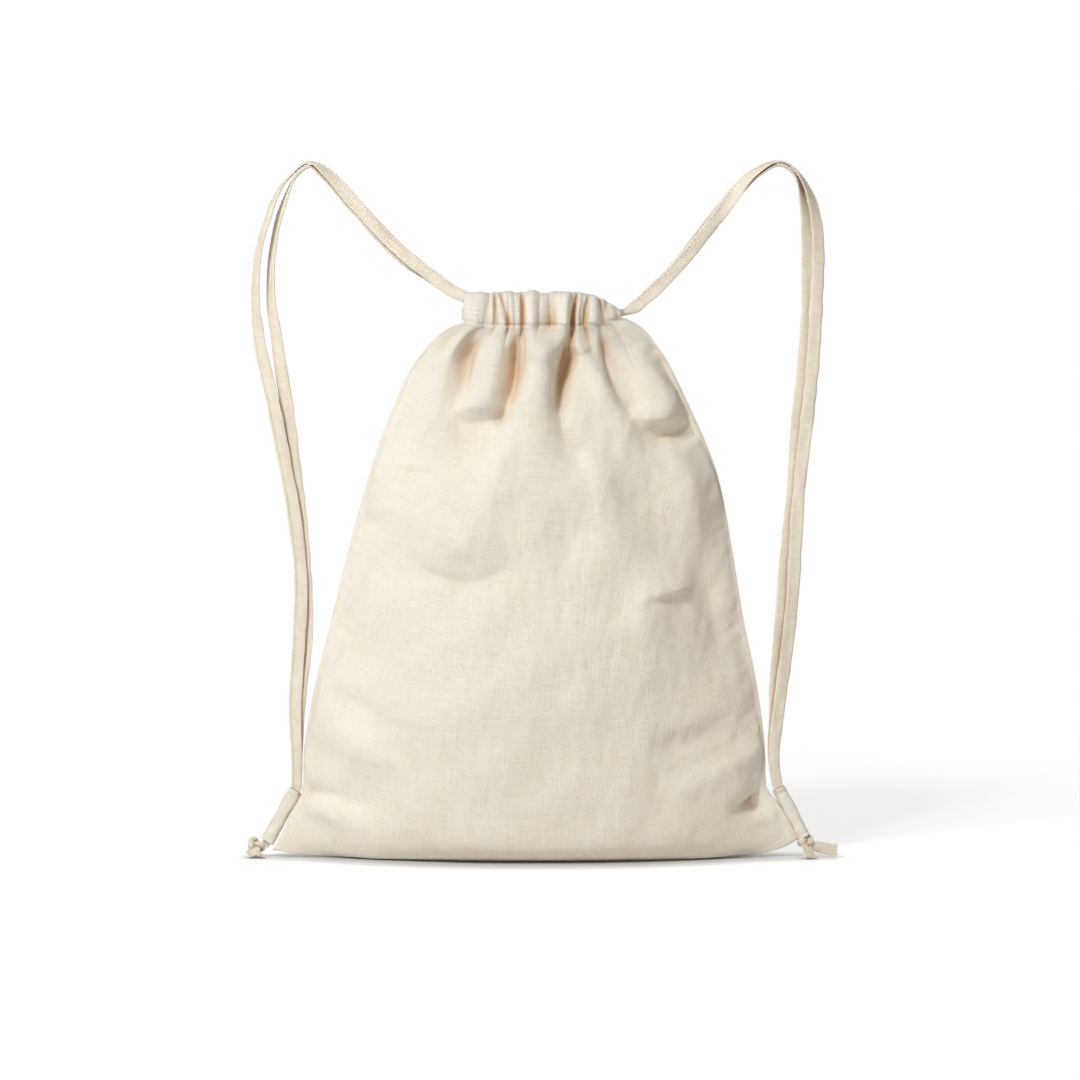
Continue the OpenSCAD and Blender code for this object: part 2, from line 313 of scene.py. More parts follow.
# painted shade: folds and hollows are tinted towards this share of the deep colour
FOLD_SHADE_TINT = (0.92, 0.65, 0.41)    # light lost and warmed deep in a fold


def times_each(colour, by):
    return tuple(np.minimum(np.array(colour) * by, 1.0).tolist())


def woven(name, light, deep, pitch, bump, fleck=0.5, fold_shade_reach=0.017, crush=0.0,
          painted_light_above=None):
    """Plain-woven cotton: crossing threads of uneven thickness, slubs, seed flecks, soft sheen,
    and painted shade, warmer and deeper, in the folds. pitch is the thread spacing in millimetres,
    crush is how strongly small dents show, and fold_shade_reach is in metres. Above the height
    painted_light_above, in metres, where the casing's cloth lies in two layers, the colour is painted
    whiter: painted light on the casing."""
    n = Material(name)
    uv = n.add("ShaderNodeUVMap", uv_map="cloth").outputs[0]
    place = n.place()
    across, up = n.split(uv)[:2]
    wobble = n.times(n.minus(n.noise(uv, 0.22, 3), 0.5), 1.1)
    warp = n.threads(n.total(across, wobble), pitch)
    weft = n.threads(n.total(up, wobble), pitch)
    over = n.math("MULTIPLY_ADD", n.times(warp, weft), 0.5, 0.5)
    warp_top = n.times(n.math("ABSOLUTE", warp), over)
    weft_top = n.times(n.math("ABSOLUTE", weft), n.minus(1.0, over))
    weave = n.math("MAXIMUM", warp_top, weft_top)

    slubs = n.total(n.noise(n.stretched(uv, 1.1 / pitch, 0.035), 1.0, 2),
                    n.noise(n.stretched(uv, 0.035, 1.1 / pitch), 1.0, 2))
    mottle = n.noise(place, 38.0, 4, 0.6)
    grain = n.noise(place, 900.0, 2, 0.7)
    dents = n.noise(place, 230.0, 2, 0.6)
    tone = n.total(n.math("MULTIPLY_ADD", slubs, 0.42, -0.18), n.times(mottle, 0.30),
                   n.times(grain, 0.46), n.times(n.minus(dents, 0.5), crush),
                   n.times(weave, 0.34))
    colour = n.ramp(tone, (0.34, deep), (0.78, light), (1.0, times_each(light, 1.06)))

    seeds = n.noise(n.stretched(uv, 0.9, 0.55), 1.0, 0)
    seeds = n.ramp(seeds, (0.79, (0, 0, 0)), (0.84, (1, 1, 1)))
    colour = n.tint(n.times(seeds, fleck), colour, SEED_BROWN)

    height = n.split(place)[2]
    # painted light: above the casing's foot the colour is tinted whiter, standing in for the light its
    # gathers catch
    if painted_light_above is not None:
        painted_light_band = n.times(n.minus(height, painted_light_above - 0.004), 160.0, clamp=True)
        colour = n.tint(n.times(painted_light_band, 0.75), colour, CASING_PAINTED_LIGHT)
    # painted shade: folds and hollows that little open air reaches are tinted deeper and warmer,
    # except just above the floor
    open_air = n.add("ShaderNodeAmbientOcclusion", Distance=fold_shade_reach, samples=6)
    painted_fold_shade = n.minus(0.80, open_air.outputs["AO"], clamp=True)
    off_floor = n.times(n.minus(height, 0.003), 45.0, clamp=True)
    painted_fold_shade = n.times(n.times(painted_fold_shade, off_floor), 1.9, clamp=True)
    colour = n.tint(painted_fold_shade, colour, times_each(deep, FOLD_SHADE_TINT))

    relief = n.total(n.times(weave, 0.55), n.times(slubs, 0.42), n.times(grain, 0.45),
                     n.times(dents, 3.0 * crush))
    return n.finish(colour, n.math("MULTIPLY_ADD", weave, -0.12, 0.66), relief, bump, 0.0006,
                    Specular_IOR_Level=0.5, Sheen_Weight=0.22, Sheen_Roughness=0.45,
                    Sheen_Tint=light)


def spun(name, colour):
    """Spun sewing thread: plied twist across the stitch, soft fuzz."""
    n = Material(name)
    twist = n.add("ShaderNodeTexWave", Scale=900.0, Distortion=1.5, Vector=n.place())
    twist = twist.outputs["Fac"]
    tint = n.ramp(twist, (0.0, times_each(colour, 0.82)), (1.0, colour))
    return n.finish(tint, 0.85, twist, 0.4, 0.0002, Sheen_Weight=0.2)


def raw_edge(name, pitch):
    """Canvas for solids without cloth coordinates: the weave by place, its pitch in metres."""
    n = Material(name)
    place = n.place()
    x, _, z = n.split(place)
    crossing = n.times(n.threads(x, pitch), n.threads(z, pitch))
    weave = n.math("MULTIPLY_ADD", crossing, 0.5, 0.5)
    tone = n.total(n.times(weave, 0.5), n.times(n.noise(place, 300.0, 3), 0.6))
    return n.finish(n.ramp(tone, (0.2, TAN), (0.8, CREAM)), 0.92, tone, 0.6, 0.0005)


# the casing's painted light starts at the casing's foot
canvas = woven("canvas", CREAM, TAN, pitch=1.15, bump=1.0,
               painted_light_above=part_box("front_casing")[0][2])
cord_cloth = woven("cord_cloth", CORD_CREAM, CORD_TAN, pitch=0.8, bump=0.5, fleck=0.4,
                   fold_shade_reach=0.004, crush=0.5)
thread = spun("thread", THREAD_CREAM)


# ---- the bag's outline, read from the frame ----

FLANGE_W = 2.0             # width of the ridge that the sewn side edges make
FLANGE_Y = 1.35            # half its thickness
FOOT_DEPTH = 0.80          # share of the frame's fullness at the bag's foot, where it tucks under
FULL_DEPTH = 0.93          # and higher up
RIGHT_CORNER_LIFT = 5.0    # the right bottom corner curls up off the floor
LEFT_CORNER_LIFT = -3.0    # and the left one lies down on it
FAR = 900                  # rays start this far out


class Outline:
    """The front cloth's edge line and its section down the middle, along the height t from 0 to 1."""

    def __init__(self):
        meshes = [frame["nodes"][node].data for node in ("front_panel", "front_neck")]
        points, faces = joined([([v.co for v in m.vertices], [p.vertices for p in m.polygons])
                                for m in meshes])
        self.tree = BVHTree.FromPolygons(points.tolist(), faces)
        self.top = box_mm("front_neck")[1][2]
        self.read_edges()
        self.read_section()

    def ray(self, origin, direction):
        """Where a ray meets the CAD cloth along its own direction, or None."""
        hit = self.tree.ray_cast(Vector(origin) * MM, Vector(direction))[0]
        return None if hit is None else hit[0 if direction[0] else 1] / MM

    def read_edges(self):
        lo, hi = box_mm("front_panel")
        rows = [(lo[0], hi[0], 8.0)]
        for z in np.linspace(9, self.top - 0.3, 150):
            a = self.ray((-FAR, -0.3, z), (1, 0, 0))
            b = self.ray((FAR, -0.3, z), (-1, 0, 0))
            if a is not None and b is not None:
                rows.append((a, b, z))
        rows = np.array(rows)
        rows[-1, 2] = self.top
        along = lengths(rows[:, [0, 2]])
        self.side_t = along / along[-1]
        self.left, self.right, self.side_z = rows.T

    def read_section(self):
        section = [(0.0, 0.0)]
        foot = [0.2, 1, 2, 3.5, 5, 7, 10, 13]
        for z in np.concatenate([foot, np.linspace(17, self.top - 0.3, 120)]):
            y = self.ray((0, -FAR, z), (0, 1, 0))
            if y is not None:
                section.append((-y, max(0.0, z - 0.2)))
        section = np.array(section)
        along = lengths(section)
        self.mid_length = along[-1]
        self.mid_t = along / along[-1]
        self.depth, self.mid_z = section.T

    def base(self, u, t):
        """The smooth stuffed shape: u from -1 at the left seam to 1 at the right one."""
        left = np.interp(t, self.side_t, self.left)
        right = np.interp(t, self.side_t, self.right)
        side_z = np.interp(t, self.side_t, self.side_z)
        mid_z = np.interp(t, self.mid_t, self.mid_z)
        half = (right - left) / 2
        x = (right + left) / 2 + u * half
        # the tabs pull the side edges out beside them
        pull = np.where(u > 0, 3.4 * bell(side_z, 38, 7) + 1.6 * bell(side_z, 26, 9),
                        -1.2 * bell(side_z, 16, 14))
        x = x + pull * u ** 4

        low_edge = (np.clip(np.abs(u) - 0.6, 0, 1) / 0.4) ** 3.2
        high_edge = np.abs(u) ** 2.5
        z = mid_z + (side_z - mid_z) * mix(low_edge, high_edge, smooth(0.05, 0.3, t))
        corner = np.where(u > 0, RIGHT_CORNER_LIFT, LEFT_CORNER_LIFT)
        z = z + corner * low_edge ** 1.5 * (1 - smooth(0.0, 0.10, t))

        fullness = mix(FOOT_DEPTH, FULL_DEPTH, smooth(0, 160, mid_z)) - 0.15 * np.exp(-mid_z / 5)
        depth = np.interp(t, self.mid_t, self.depth) * fullness
        inner = np.clip(np.abs(u) * half / (half - FLANGE_W), 0, 1)
        lens = np.maximum(1 - inner ** 2, 0) ** mix(0.75, 0.42, smooth(0.82, 1.0, t))
        vent = 4.0 * smooth(self.top - 34, self.top, z)
        y = -(FLANGE_Y + vent + (depth - FLANGE_Y) * lens)
        return x, y, z


outline = Outline()
casing_lo, casing_hi = box_mm("front_casing")
MOUTH_X, _, CASING_Z = (casing_lo + casing_hi) / 2
MOUTH_HALF = (casing_hi[0] - casing_lo[0]) / 2
CASING_HALF = (casing_hi[2] - casing_lo[2]) / 2 - 0.8
run_lo, run_hi = box_mm("left_cord_front_run")
CORD_Y = -(run_lo[1] + run_hi[1]) / 2


# ---- folds ----

# Each fold is a line on the cloth, drawn from the top down or from left to right. Its points
# are (x, z, width to the left or below, width to the right or above, height); a negative
# height is a hollow. Sharpness 2 is a soft swell, 1 a crease.
FRONT_FOLDS = [
    # strip of shade beside the side vent, and the thin ridge inside it
    (1.7, [(-44, 377, 3, 2, -1), (-52, 369, 4, 2.5, -4), (-60, 360, 5, 2.5, -5),
           (-66, 352, 5, 3, -3), (-71, 345, 4, 3, 0)]),
    (1.8, [(-20, 376.5, 3, 2, 1), (-30, 375.5, 3.5, 2.5, 3), (-42, 371, 4, 3, 4.5),
           (-53, 361, 5, 4, 5.5), (-60, 348, 7, 5, 5), (-66, 326, 11, 9, 3.5),
           (-74, 296, 14, 14, 0)]),
    # the scoop inside it
    (2.0, [(-24, 371, 3, 3, -1), (-31, 368, 4.5, 3, -4.5), (-41, 360, 9, 3.5, -7.5),
           (-48, 348, 11, 4.5, -8), (-52, 332, 11, 6, -7), (-56, 316, 11, 9, -4),
           (-60, 302, 10, 10, 0)]),
    # puff that ends in a fold at its lower edge
    (2.0, [(-18, 370, 4, 4, 0), (-23, 360, 7, 5, 3), (-28, 346, 10, 6, 6),
           (-31, 330, 13, 7, 7), (-33, 318, 15, 7, 4), (-34, 312, 14, 7, 0)]),
    (1.7, [(-60, 314, 2, 8, 0), (-52, 313, 2.2, 9, 2.5), (-40, 312.5, 2.2, 9, 4.2),
           (-30, 313, 2.2, 8, 3), (-22, 316, 2, 5, 0)]),
    (1.8, [(-64, 304, 12, 3, 0), (-52, 304, 16, 3.5, -3.5), (-38, 304.5, 18, 3.5, -5),
           (-24, 307, 15, 4, -4), (-17, 312, 8, 4, 0)]),
    (2.0, [(-44, 300, 14, 12, 0), (-54, 288, 16, 14, -3.5), (-70, 274, 12, 10, -3.0),
           (-88, 268, 8, 8, -1.5), (-98, 266, 6, 6, 0)]),
    (1.6, [(-98, 273, 2, 6, 0), (-84, 272, 2.5, 7, 1.5), (-66, 270, 3, 8, 1.5),
           (-48, 270, 4, 8, 0)]),
    # valley left of the middle ridge
    (1.7, [(-15, 366, 3, 3, -2), (-16, 350, 4, 5, -6), (-17, 336, 5, 6, -7),
           (-20, 322, 6, 7, -7), (-25, 311, 8, 7, -5), (-32, 302, 8, 8, 0)]),
    # middle ridge: two puffs that merge, broad at the foot
    (2.6, [(-4, 380, 7, 6, 0), (-4, 372, 7, 7, 4), (0, 358, 10, 10, 4), (2, 346, 11, 11, 2),
           (2, 338, 10, 10, 0)]),
    (2.6, [(16, 380, 6, 5, 0), (16, 372, 7, 5, 5), (13, 360, 8, 7, 5), (9, 350, 9, 9, 3),
           (7, 340, 9, 9, 0)]),
    (2.4, [(4, 366, 12, 12, 0), (3, 352, 12, 11, 6), (1, 330, 12, 10, 9),
           (-2, 304, 19, 13, 7), (-5, 270, 28, 24, 3.5), (-8, 235, 34, 34, 0)]),
    (1.3, [(-11, 384, 2, 2, 0), (-11, 376, 2.0, 2.5, -3), (-10.6, 360, 2.0, 2.5, -4),
           (-10.5, 344, 2.5, 3, -2.5), (-12, 326, 4, 5, 0)]),
    # deep fold on its right
    (1.5, [(25, 374, 2, 3, -2), (22, 364, 2.5, 5, -6), (17.5, 350, 3, 7, -10),
           (14.0, 336, 3, 8, -11), (12.5, 320, 3.5, 9, -8), (15, 304, 6, 10, -4),
           (19, 286, 9, 12, -2), (24, 262, 12, 14, 0)]),
    # small puff that hangs from the gathers, with a crease under it
    (2.0, [(28, 376, 4, 4, 0), (26, 366, 6, 5, 4), (25, 356, 7, 6, 5), (25, 351, 6, 6, 0)]),
    (1.5, [(17, 352, 2, 5, 0), (23, 350.5, 1.6, 5, 2.5), (31, 351.5, 1.8, 5, 3),
           (37, 356, 2, 4, 0)]),
    # right ridge that starts under it, and the crease on its right
    (2.0, [(24, 349, 4, 6, 0), (30, 346, 6, 7, 4), (38, 338, 7, 7, 6.5), (45, 325, 9, 8, 6),
           (54, 308, 12, 10, 4), (66, 280, 16, 14, 2), (76, 250, 20, 18, 0)]),
    (1.4, [(42, 374, 1.6, 2, -1), (42.5, 364, 1.8, 4, -4), (44, 354, 2, 8, -7),
           (47, 342, 2.5, 9, -6), (52, 328, 4, 9, -4.5), (61, 313, 6, 9, -2.5),
           (72, 300, 8, 9, 0)]),
    # puff on the right shoulder with a fold under it
    (2.2, [(64, 356, 7, 6, 0), (70, 344, 11, 8, 4), (79, 330, 15, 9, 7),
           (88, 316, 15, 9, 7), (93, 309, 12, 8, 3), (95, 305, 10, 6, 0)]),
    (1.7, [(62, 309, 2.5, 7, 0), (72, 305, 2.2, 9, 3), (86, 303, 2.2, 9, 4),
           (98, 306, 2.5, 7, 2), (104, 310, 3, 5, 0)]),
    (1.8, [(62, 302, 10, 4, 0), (72, 297, 14, 4, -4), (86, 294, 16, 4, -5),
           (100, 297, 12, 4, -3.5), (108, 304, 6, 4, 0)]),
    # the right flank falls away from a long ridge
    (2.0, [(84, 292, 14, 11, 0), (90, 282, 16, 12, 4.0), (97, 262, 18, 12, 5.0),
           (104, 238, 16, 11, 4.0), (110, 214, 14, 10, 2.0), (114, 190, 12, 10, 0)]),
    # broad swells lower down, and the soft edges where they stop
    (2.0, [(-60, 262, 16, 16, 0), (-56, 244, 20, 20, 3), (-52, 222, 24, 24, 4),
           (-50, 204, 22, 22, 0)]),
    (1.7, [(-96, 216, 12, 5, 0), (-76, 200, 14, 5, -1.7), (-50, 194, 16, 5, -2.1),
           (-28, 200, 14, 5, -1.6), (-14, 212, 10, 5, 0)]),
    (1.8, [(-132, 232, 8, 5, 0), (-116, 234, 9, 5, -2), (-100, 240, 8, 5, 0)]),
    (1.8, [(58, 180, 6, 9, 0), (74, 184, 4, 10, 2.8), (94, 188, 3, 10, 3.2),
           (108, 192, 3, 6, 0)]),
    (2.0, [(70, 184, 14, 12, 0), (74, 166, 18, 16, 3.4), (72, 142, 22, 20, 2),
           (66, 118, 22, 20, 0)]),
    # long soft waves in the lower corners
    (2.0, [(84, 48, 10, 10, 0), (104, 54, 11, 9, 2.6), (130, 64, 11, 9, 3.2),
           (160, 80, 8, 8, 0)]),
    (2.0, [(76, 88, 9, 12, 0), (94, 82, 9, 12, -2.8), (112, 86, 9, 10, -2.4),
           (136, 98, 9, 9, 0)]),
    (2.0, [(-156, 92, 10, 10, 0), (-136, 84, 12, 11, 2.6), (-108, 70, 14, 12, 2.4),
           (-82, 58, 14, 12, 0)]),
    (2.0, [(-158, 112, 8, 8, 0), (-138, 112, 9, 9, -2.0), (-110, 100, 10, 10, -1.4),
           (-86, 90, 10, 10, 0)]),
    # ridges and hollows that run on down from the gathers
    (2.0, [(-18, 296, 12, 8, 0), (-28, 276, 14, 9, 2.6), (-34, 252, 16, 12, 2.2),
           (-36, 228, 16, 14, 0)]),
    (2.0, [(34, 290, 7, 8, 0), (40, 270, 9, 10, 2.8), (48, 244, 11, 12, 2.4),
           (54, 218, 12, 12, 0)]),
    (2.0, [(106, 226, 9, 9, 0), (116, 196, 10, 10, -2.6), (122, 168, 10, 10, -2.4),
           (128, 140, 10, 10, 0)]),
    (2.0, [(-10, 262, 14, 14, 0), (10, 244, 14, 16, -2.6), (22, 222, 16, 16, -2.4),
           (30, 196, 14, 14, 0)]),
    (2.0, [(-110, 96, 20, 14, 0), (-60, 108, 22, 16, 1.8), (0, 104, 24, 18, 1.4),
           (60, 112, 20, 16, 0)]),
    # dents and swells that run in from the corner tabs
    (1.5, [(-168, 45, 2, 2, -1.5), (-162, 45, 3, 4, -3.4), (-154, 45.5, 3, 7, -2.6),
           (-136, 43, 5, 9, -2.0), (-112, 36, 8, 11, -1.2), (-92, 28, 8, 10, 0)]),
    (2.0, [(-160, 34, 6, 6, 1.2), (-140, 30, 8, 7, 1.8), (-116, 22, 9, 8, 0)]),
    (1.4, [(164, 44, 2, 2, -2.0), (156, 43, 2, 5, -5.0), (149, 40.5, 2, 6.5, -5.0),
           (141, 36, 3, 6, -2.8), (132, 31, 5, 6, 0)]),
    (2.0, [(170, 30, 6, 5, 1.2), (152, 27, 7, 5, 1.6), (134, 22, 8, 6, 0)]),
    (2.0, [(150, 52, 6, 6, 0), (140, 50, 9, 7, 2.2), (124, 44, 12, 9, 1.6),
           (110, 40, 12, 10, 0)]),
]

# Slits between the gathers: (place at the top, place at the stitch line, depth, width, reach
# down the neck). Places are along the mouth, from its middle. Crests: (place, height, width).
DEEP_SLIT = 3.5            # slits this deep part one round tuck from the next
TUCK_ROUND = 1.7           # how far a tuck's flanks fall back
PLAIN_REACH = 12           # how far down the crests and the outermost tucks reach
FRONT_SLITS = [
    (-46, -48, 0.8, 3.0, 6), (-36.4, -38.5, 3.6, 1.3, 4), (-32.8, -32.0, 3.6, 1.2, 6),
    (-29.0, -23.6, 5.5, 1.6, 14), (-19.8, -19.0, 1.6, 1.8, 6), (-14.3, -13.4, 5.0, 1.3, 26),
    (-1.8, -3.0, 2.0, 1.8, 8), (4.4, 5.2, 1.2, 1.4, 4), (8.0, 7.0, 2.2, 1.8, 8),
    (20.4, 21.0, 2.6, 1.4, 5), (23.6, 19.2, 6.0, 1.5, 16), (27.4, 25.4, 2.4, 1.1, 5),
    (31.0, 28.4, 6.0, 1.4, 13), (38.4, 41.6, 4.6, 1.2, 12), (43.8, 42.8, 4.4, 1.1, 16),
    (49.0, 51.0, 1.8, 1.4, 5),
]
FRONT_CRESTS = [(-24.5, 1.2, 4), (-7.5, 3.2, 5), (5, -1.8, 4), (17, 4.0, 5), (35, 1.6, 4)]
BACK_CRESTS = [(-30, 2, 5), (12, 2.5, 5), (38, 1.5, 4)]


def fold_height(x, z, points, sharp):
    """Height of one fold at (x, z): it falls off with distance from the fold's line."""
    path = spline(points, 5)
    nearest = np.full(x.shape, 1e9)
    height = np.zeros(x.shape)
    for a, b in zip(path, path[1:]):
        ex, ez = b[:2] - a[:2]
        s = np.clip(((x - a[0]) * ex + (z - a[1]) * ez) / (ex * ex + ez * ez + 1e-9), 0, 1)
        dx, dz = x - (a[0] + s * ex), z - (a[1] + s * ez)
        d = np.hypot(dx, dz)
        width = np.where(ex * dz - ez * dx > 0, mix(a[3], b[3], s), mix(a[2], b[2], s))
        value = mix(a[4], b[4], s) * np.exp(-(d / np.maximum(width, 0.5)) ** sharp)
        height = np.where(d < nearest, value, height)
        nearest = np.minimum(nearest, d)
    return height


# How far down a random gather its points are, and how high it stands at each.
GATHER_SHAPE = [(0, 0), (0.12, 0.8), (0.35, 1), (0.65, 0.6), (1, 0)]


def random_folds(seed):
    """Gathers fanning down from the mouth, for the side that nothing prescribes."""
    rng = np.random.default_rng(seed)
    folds = []
    for i, x in enumerate(np.linspace(-40, 44, 9)):
        x += rng.uniform(-3, 3)
        fan = 1.25 + rng.uniform(-0.15, 0.25)
        long = rng.uniform(70, 150)
        rise = rng.uniform(4, 8) * (1 if i % 2 else -1)
        slim = rng.uniform(5, 8)
        path = []
        for down, share in GATHER_SHAPE:
            bend = rng.uniform(-3, 3)
            path.append((x * (1 + (fan - 1) * down * 3) + bend, 372 - long * down,
                         slim * (0.7 + down), slim * (0.7 + down * rng.uniform(0.8, 1.4)),
                         share * rise))
        folds.append((rng.choice([1.5, 2.0, 2.2]), path))
    for _ in range(7):
        x, z = rng.uniform(-90, 90), rng.uniform(190, 300)
        slope = rng.uniform(-0.5, 0.5)
        rise = rng.uniform(1.2, 3.0) * rng.choice([-1, 1])
        half = rng.uniform(18, 34)
        folds.append((2.0, [(x + s * half, z + s * half * slope, 9, 8, (1 - s * s) * rise)
                            for s in (-1, -0.4, 0.3, 1)]))
    for side in SIDES:
        folds.append((1.6, [(side * 164, 48, 4, 4, -2.6), (side * 148, 45, 5, 5, -2.2),
                            (side * 120, 46, 8, 7, 0)]))
    return folds


def random_slits(seed):
    """Slits at uneven steps along the whole mouth."""
    rng = np.random.default_rng(seed)
    places = np.cumsum(rng.uniform(4.5, 8.5, 40)) - MOUTH_HALF + 2
    return [(x + rng.uniform(-1, 1), x + rng.uniform(-1.5, 1.5), rng.uniform(2, 7),
             rng.uniform(1.3, 2.2), rng.uniform(6, 26)) for x in places if x < MOUTH_HALF - 4]


def gather_height(u, above, slits, crests):
    """Gathers of the mouth, by the distance above the stitch line (negative below it): round
    tucks between the deep slits, and a notch at every slit."""
    x = u * MOUTH_HALF
    rise = np.clip(above / (2 * CASING_HALF), 0, 1)
    below = np.maximum(-above, 0)
    out = np.zeros(np.broadcast(u, above).shape)
    walls = []
    for top, low, depth, width, reach in slits:
        at = mix(low, top, rise) + (low - top) * 0.04 * below
        spread = width * (1 + 0.03 * below)
        notch = np.exp(-np.abs((x - at) / spread) ** 1.25)
        out -= 0.75 * depth * np.exp(-below / reach) * notch
        if depth >= DEEP_SLIT:
            walls.append((at, reach))
    past_end = MOUTH_HALF + 5 + 0 * x
    walls = [(-past_end, PLAIN_REACH)] + walls + [(past_end, PLAIN_REACH)]
    for (a, reach_a), (b, reach_b) in zip(walls, walls[1:]):
        gap = np.maximum(b - a, 0.5)
        s = np.clip((x - a) / gap, 0, 1)
        arch = np.sqrt(np.maximum(0, 1 - (2 * s - 1) ** 2))
        flank = np.where(s < 0.5, reach_a, reach_b)
        inside = (s > 0) & (s < 1)
        out += inside * np.minimum(0.40 * gap, TUCK_ROUND) * (arch - 1) * np.exp(-below / flank)
    for at, lift, width in crests:
        out += lift * bell(x, at, width) * np.exp(-below / PLAIN_REACH)
    return out


# ---- the casing's shape ----

CORD_ROOM = 1.9            # the casing's cloth keeps this far outside the cord's middle


def tilt(x, rise=0.0):
    """The casing narrows towards its ends, most at the bag's right: its foot rises and its top
    sinks. rise is 0 at the foot and 1 at the top."""
    right = np.clip((x - 26) / 31, 0, 1.1) ** 1.7
    left = np.clip((-30 - x) / 24, 0, 1.1) ** 1.7
    rise = np.clip(rise, 0, 1)
    return right * mix(6.0, -13.0, rise) + left * mix(3.0, 0.0, rise)


def in_casing(x, z):
    """The height that a height in the frame's straight casing has in the narrowed one."""
    foot = CASING_Z - CASING_HALF
    part = (z - foot) / (2 * CASING_HALF)
    return foot + mix(tilt(x, 0.0), 2 * CASING_HALF + tilt(x, 1.0), part)


def cord_half(x, widest):
    """Half a cord's width in the casing, where two lie one above the other: they bunch up where
    the casing narrows."""
    room = 2 * CASING_HALF + tilt(x, 1.0) - tilt(x, 0.0)
    return np.clip(room / 4 - 0.4, 0.6, widest)


def casing_outer(u):
    """How far the casing's outer face stands before its middle, when full."""
    return 2.6 + 4.6 * (1 - np.abs(u) ** 5)


def casing_inner(u):
    return 2.2 + 1.6 * (1 - np.abs(u) ** 5)


def above_cord(ahead, part):
    """Slits stop at the cord: the cloth eases onto it instead of passing through."""
    over = ahead - CORD_ROOM * part
    return CORD_ROOM * part + 0.5 * (over + np.sqrt(over ** 2 + 0.8))


# ---- cloth sheets ----

CLOTH = 0.7                # thickness of the canvas
INNER_ROOM = 2.3           # the cloth stays this far from the middle, clear of the seams inside
LIP_ROOM = 0.9             # and this far at the mouth
LOW_SWELL = 1.45           # the swells below the gathers are this much fuller than listed
HIGH_SWELL = 1.24          # and those near them
COLS = 300
BODY_ROWS = 250
LOOP_ROWS = 46
LOOP_START = -40           # degrees round the casing where the neck joins it
LOOP_END = 236
SQUARE = 0.6               # the casing's section is a rounded square: 1 would be an ellipse
START_COS = math.cos(math.radians(LOOP_START)) ** SQUARE


def normals_of(surface):
    return unit(np.cross(np.gradient(surface, axis=1), np.gradient(surface, axis=0)))


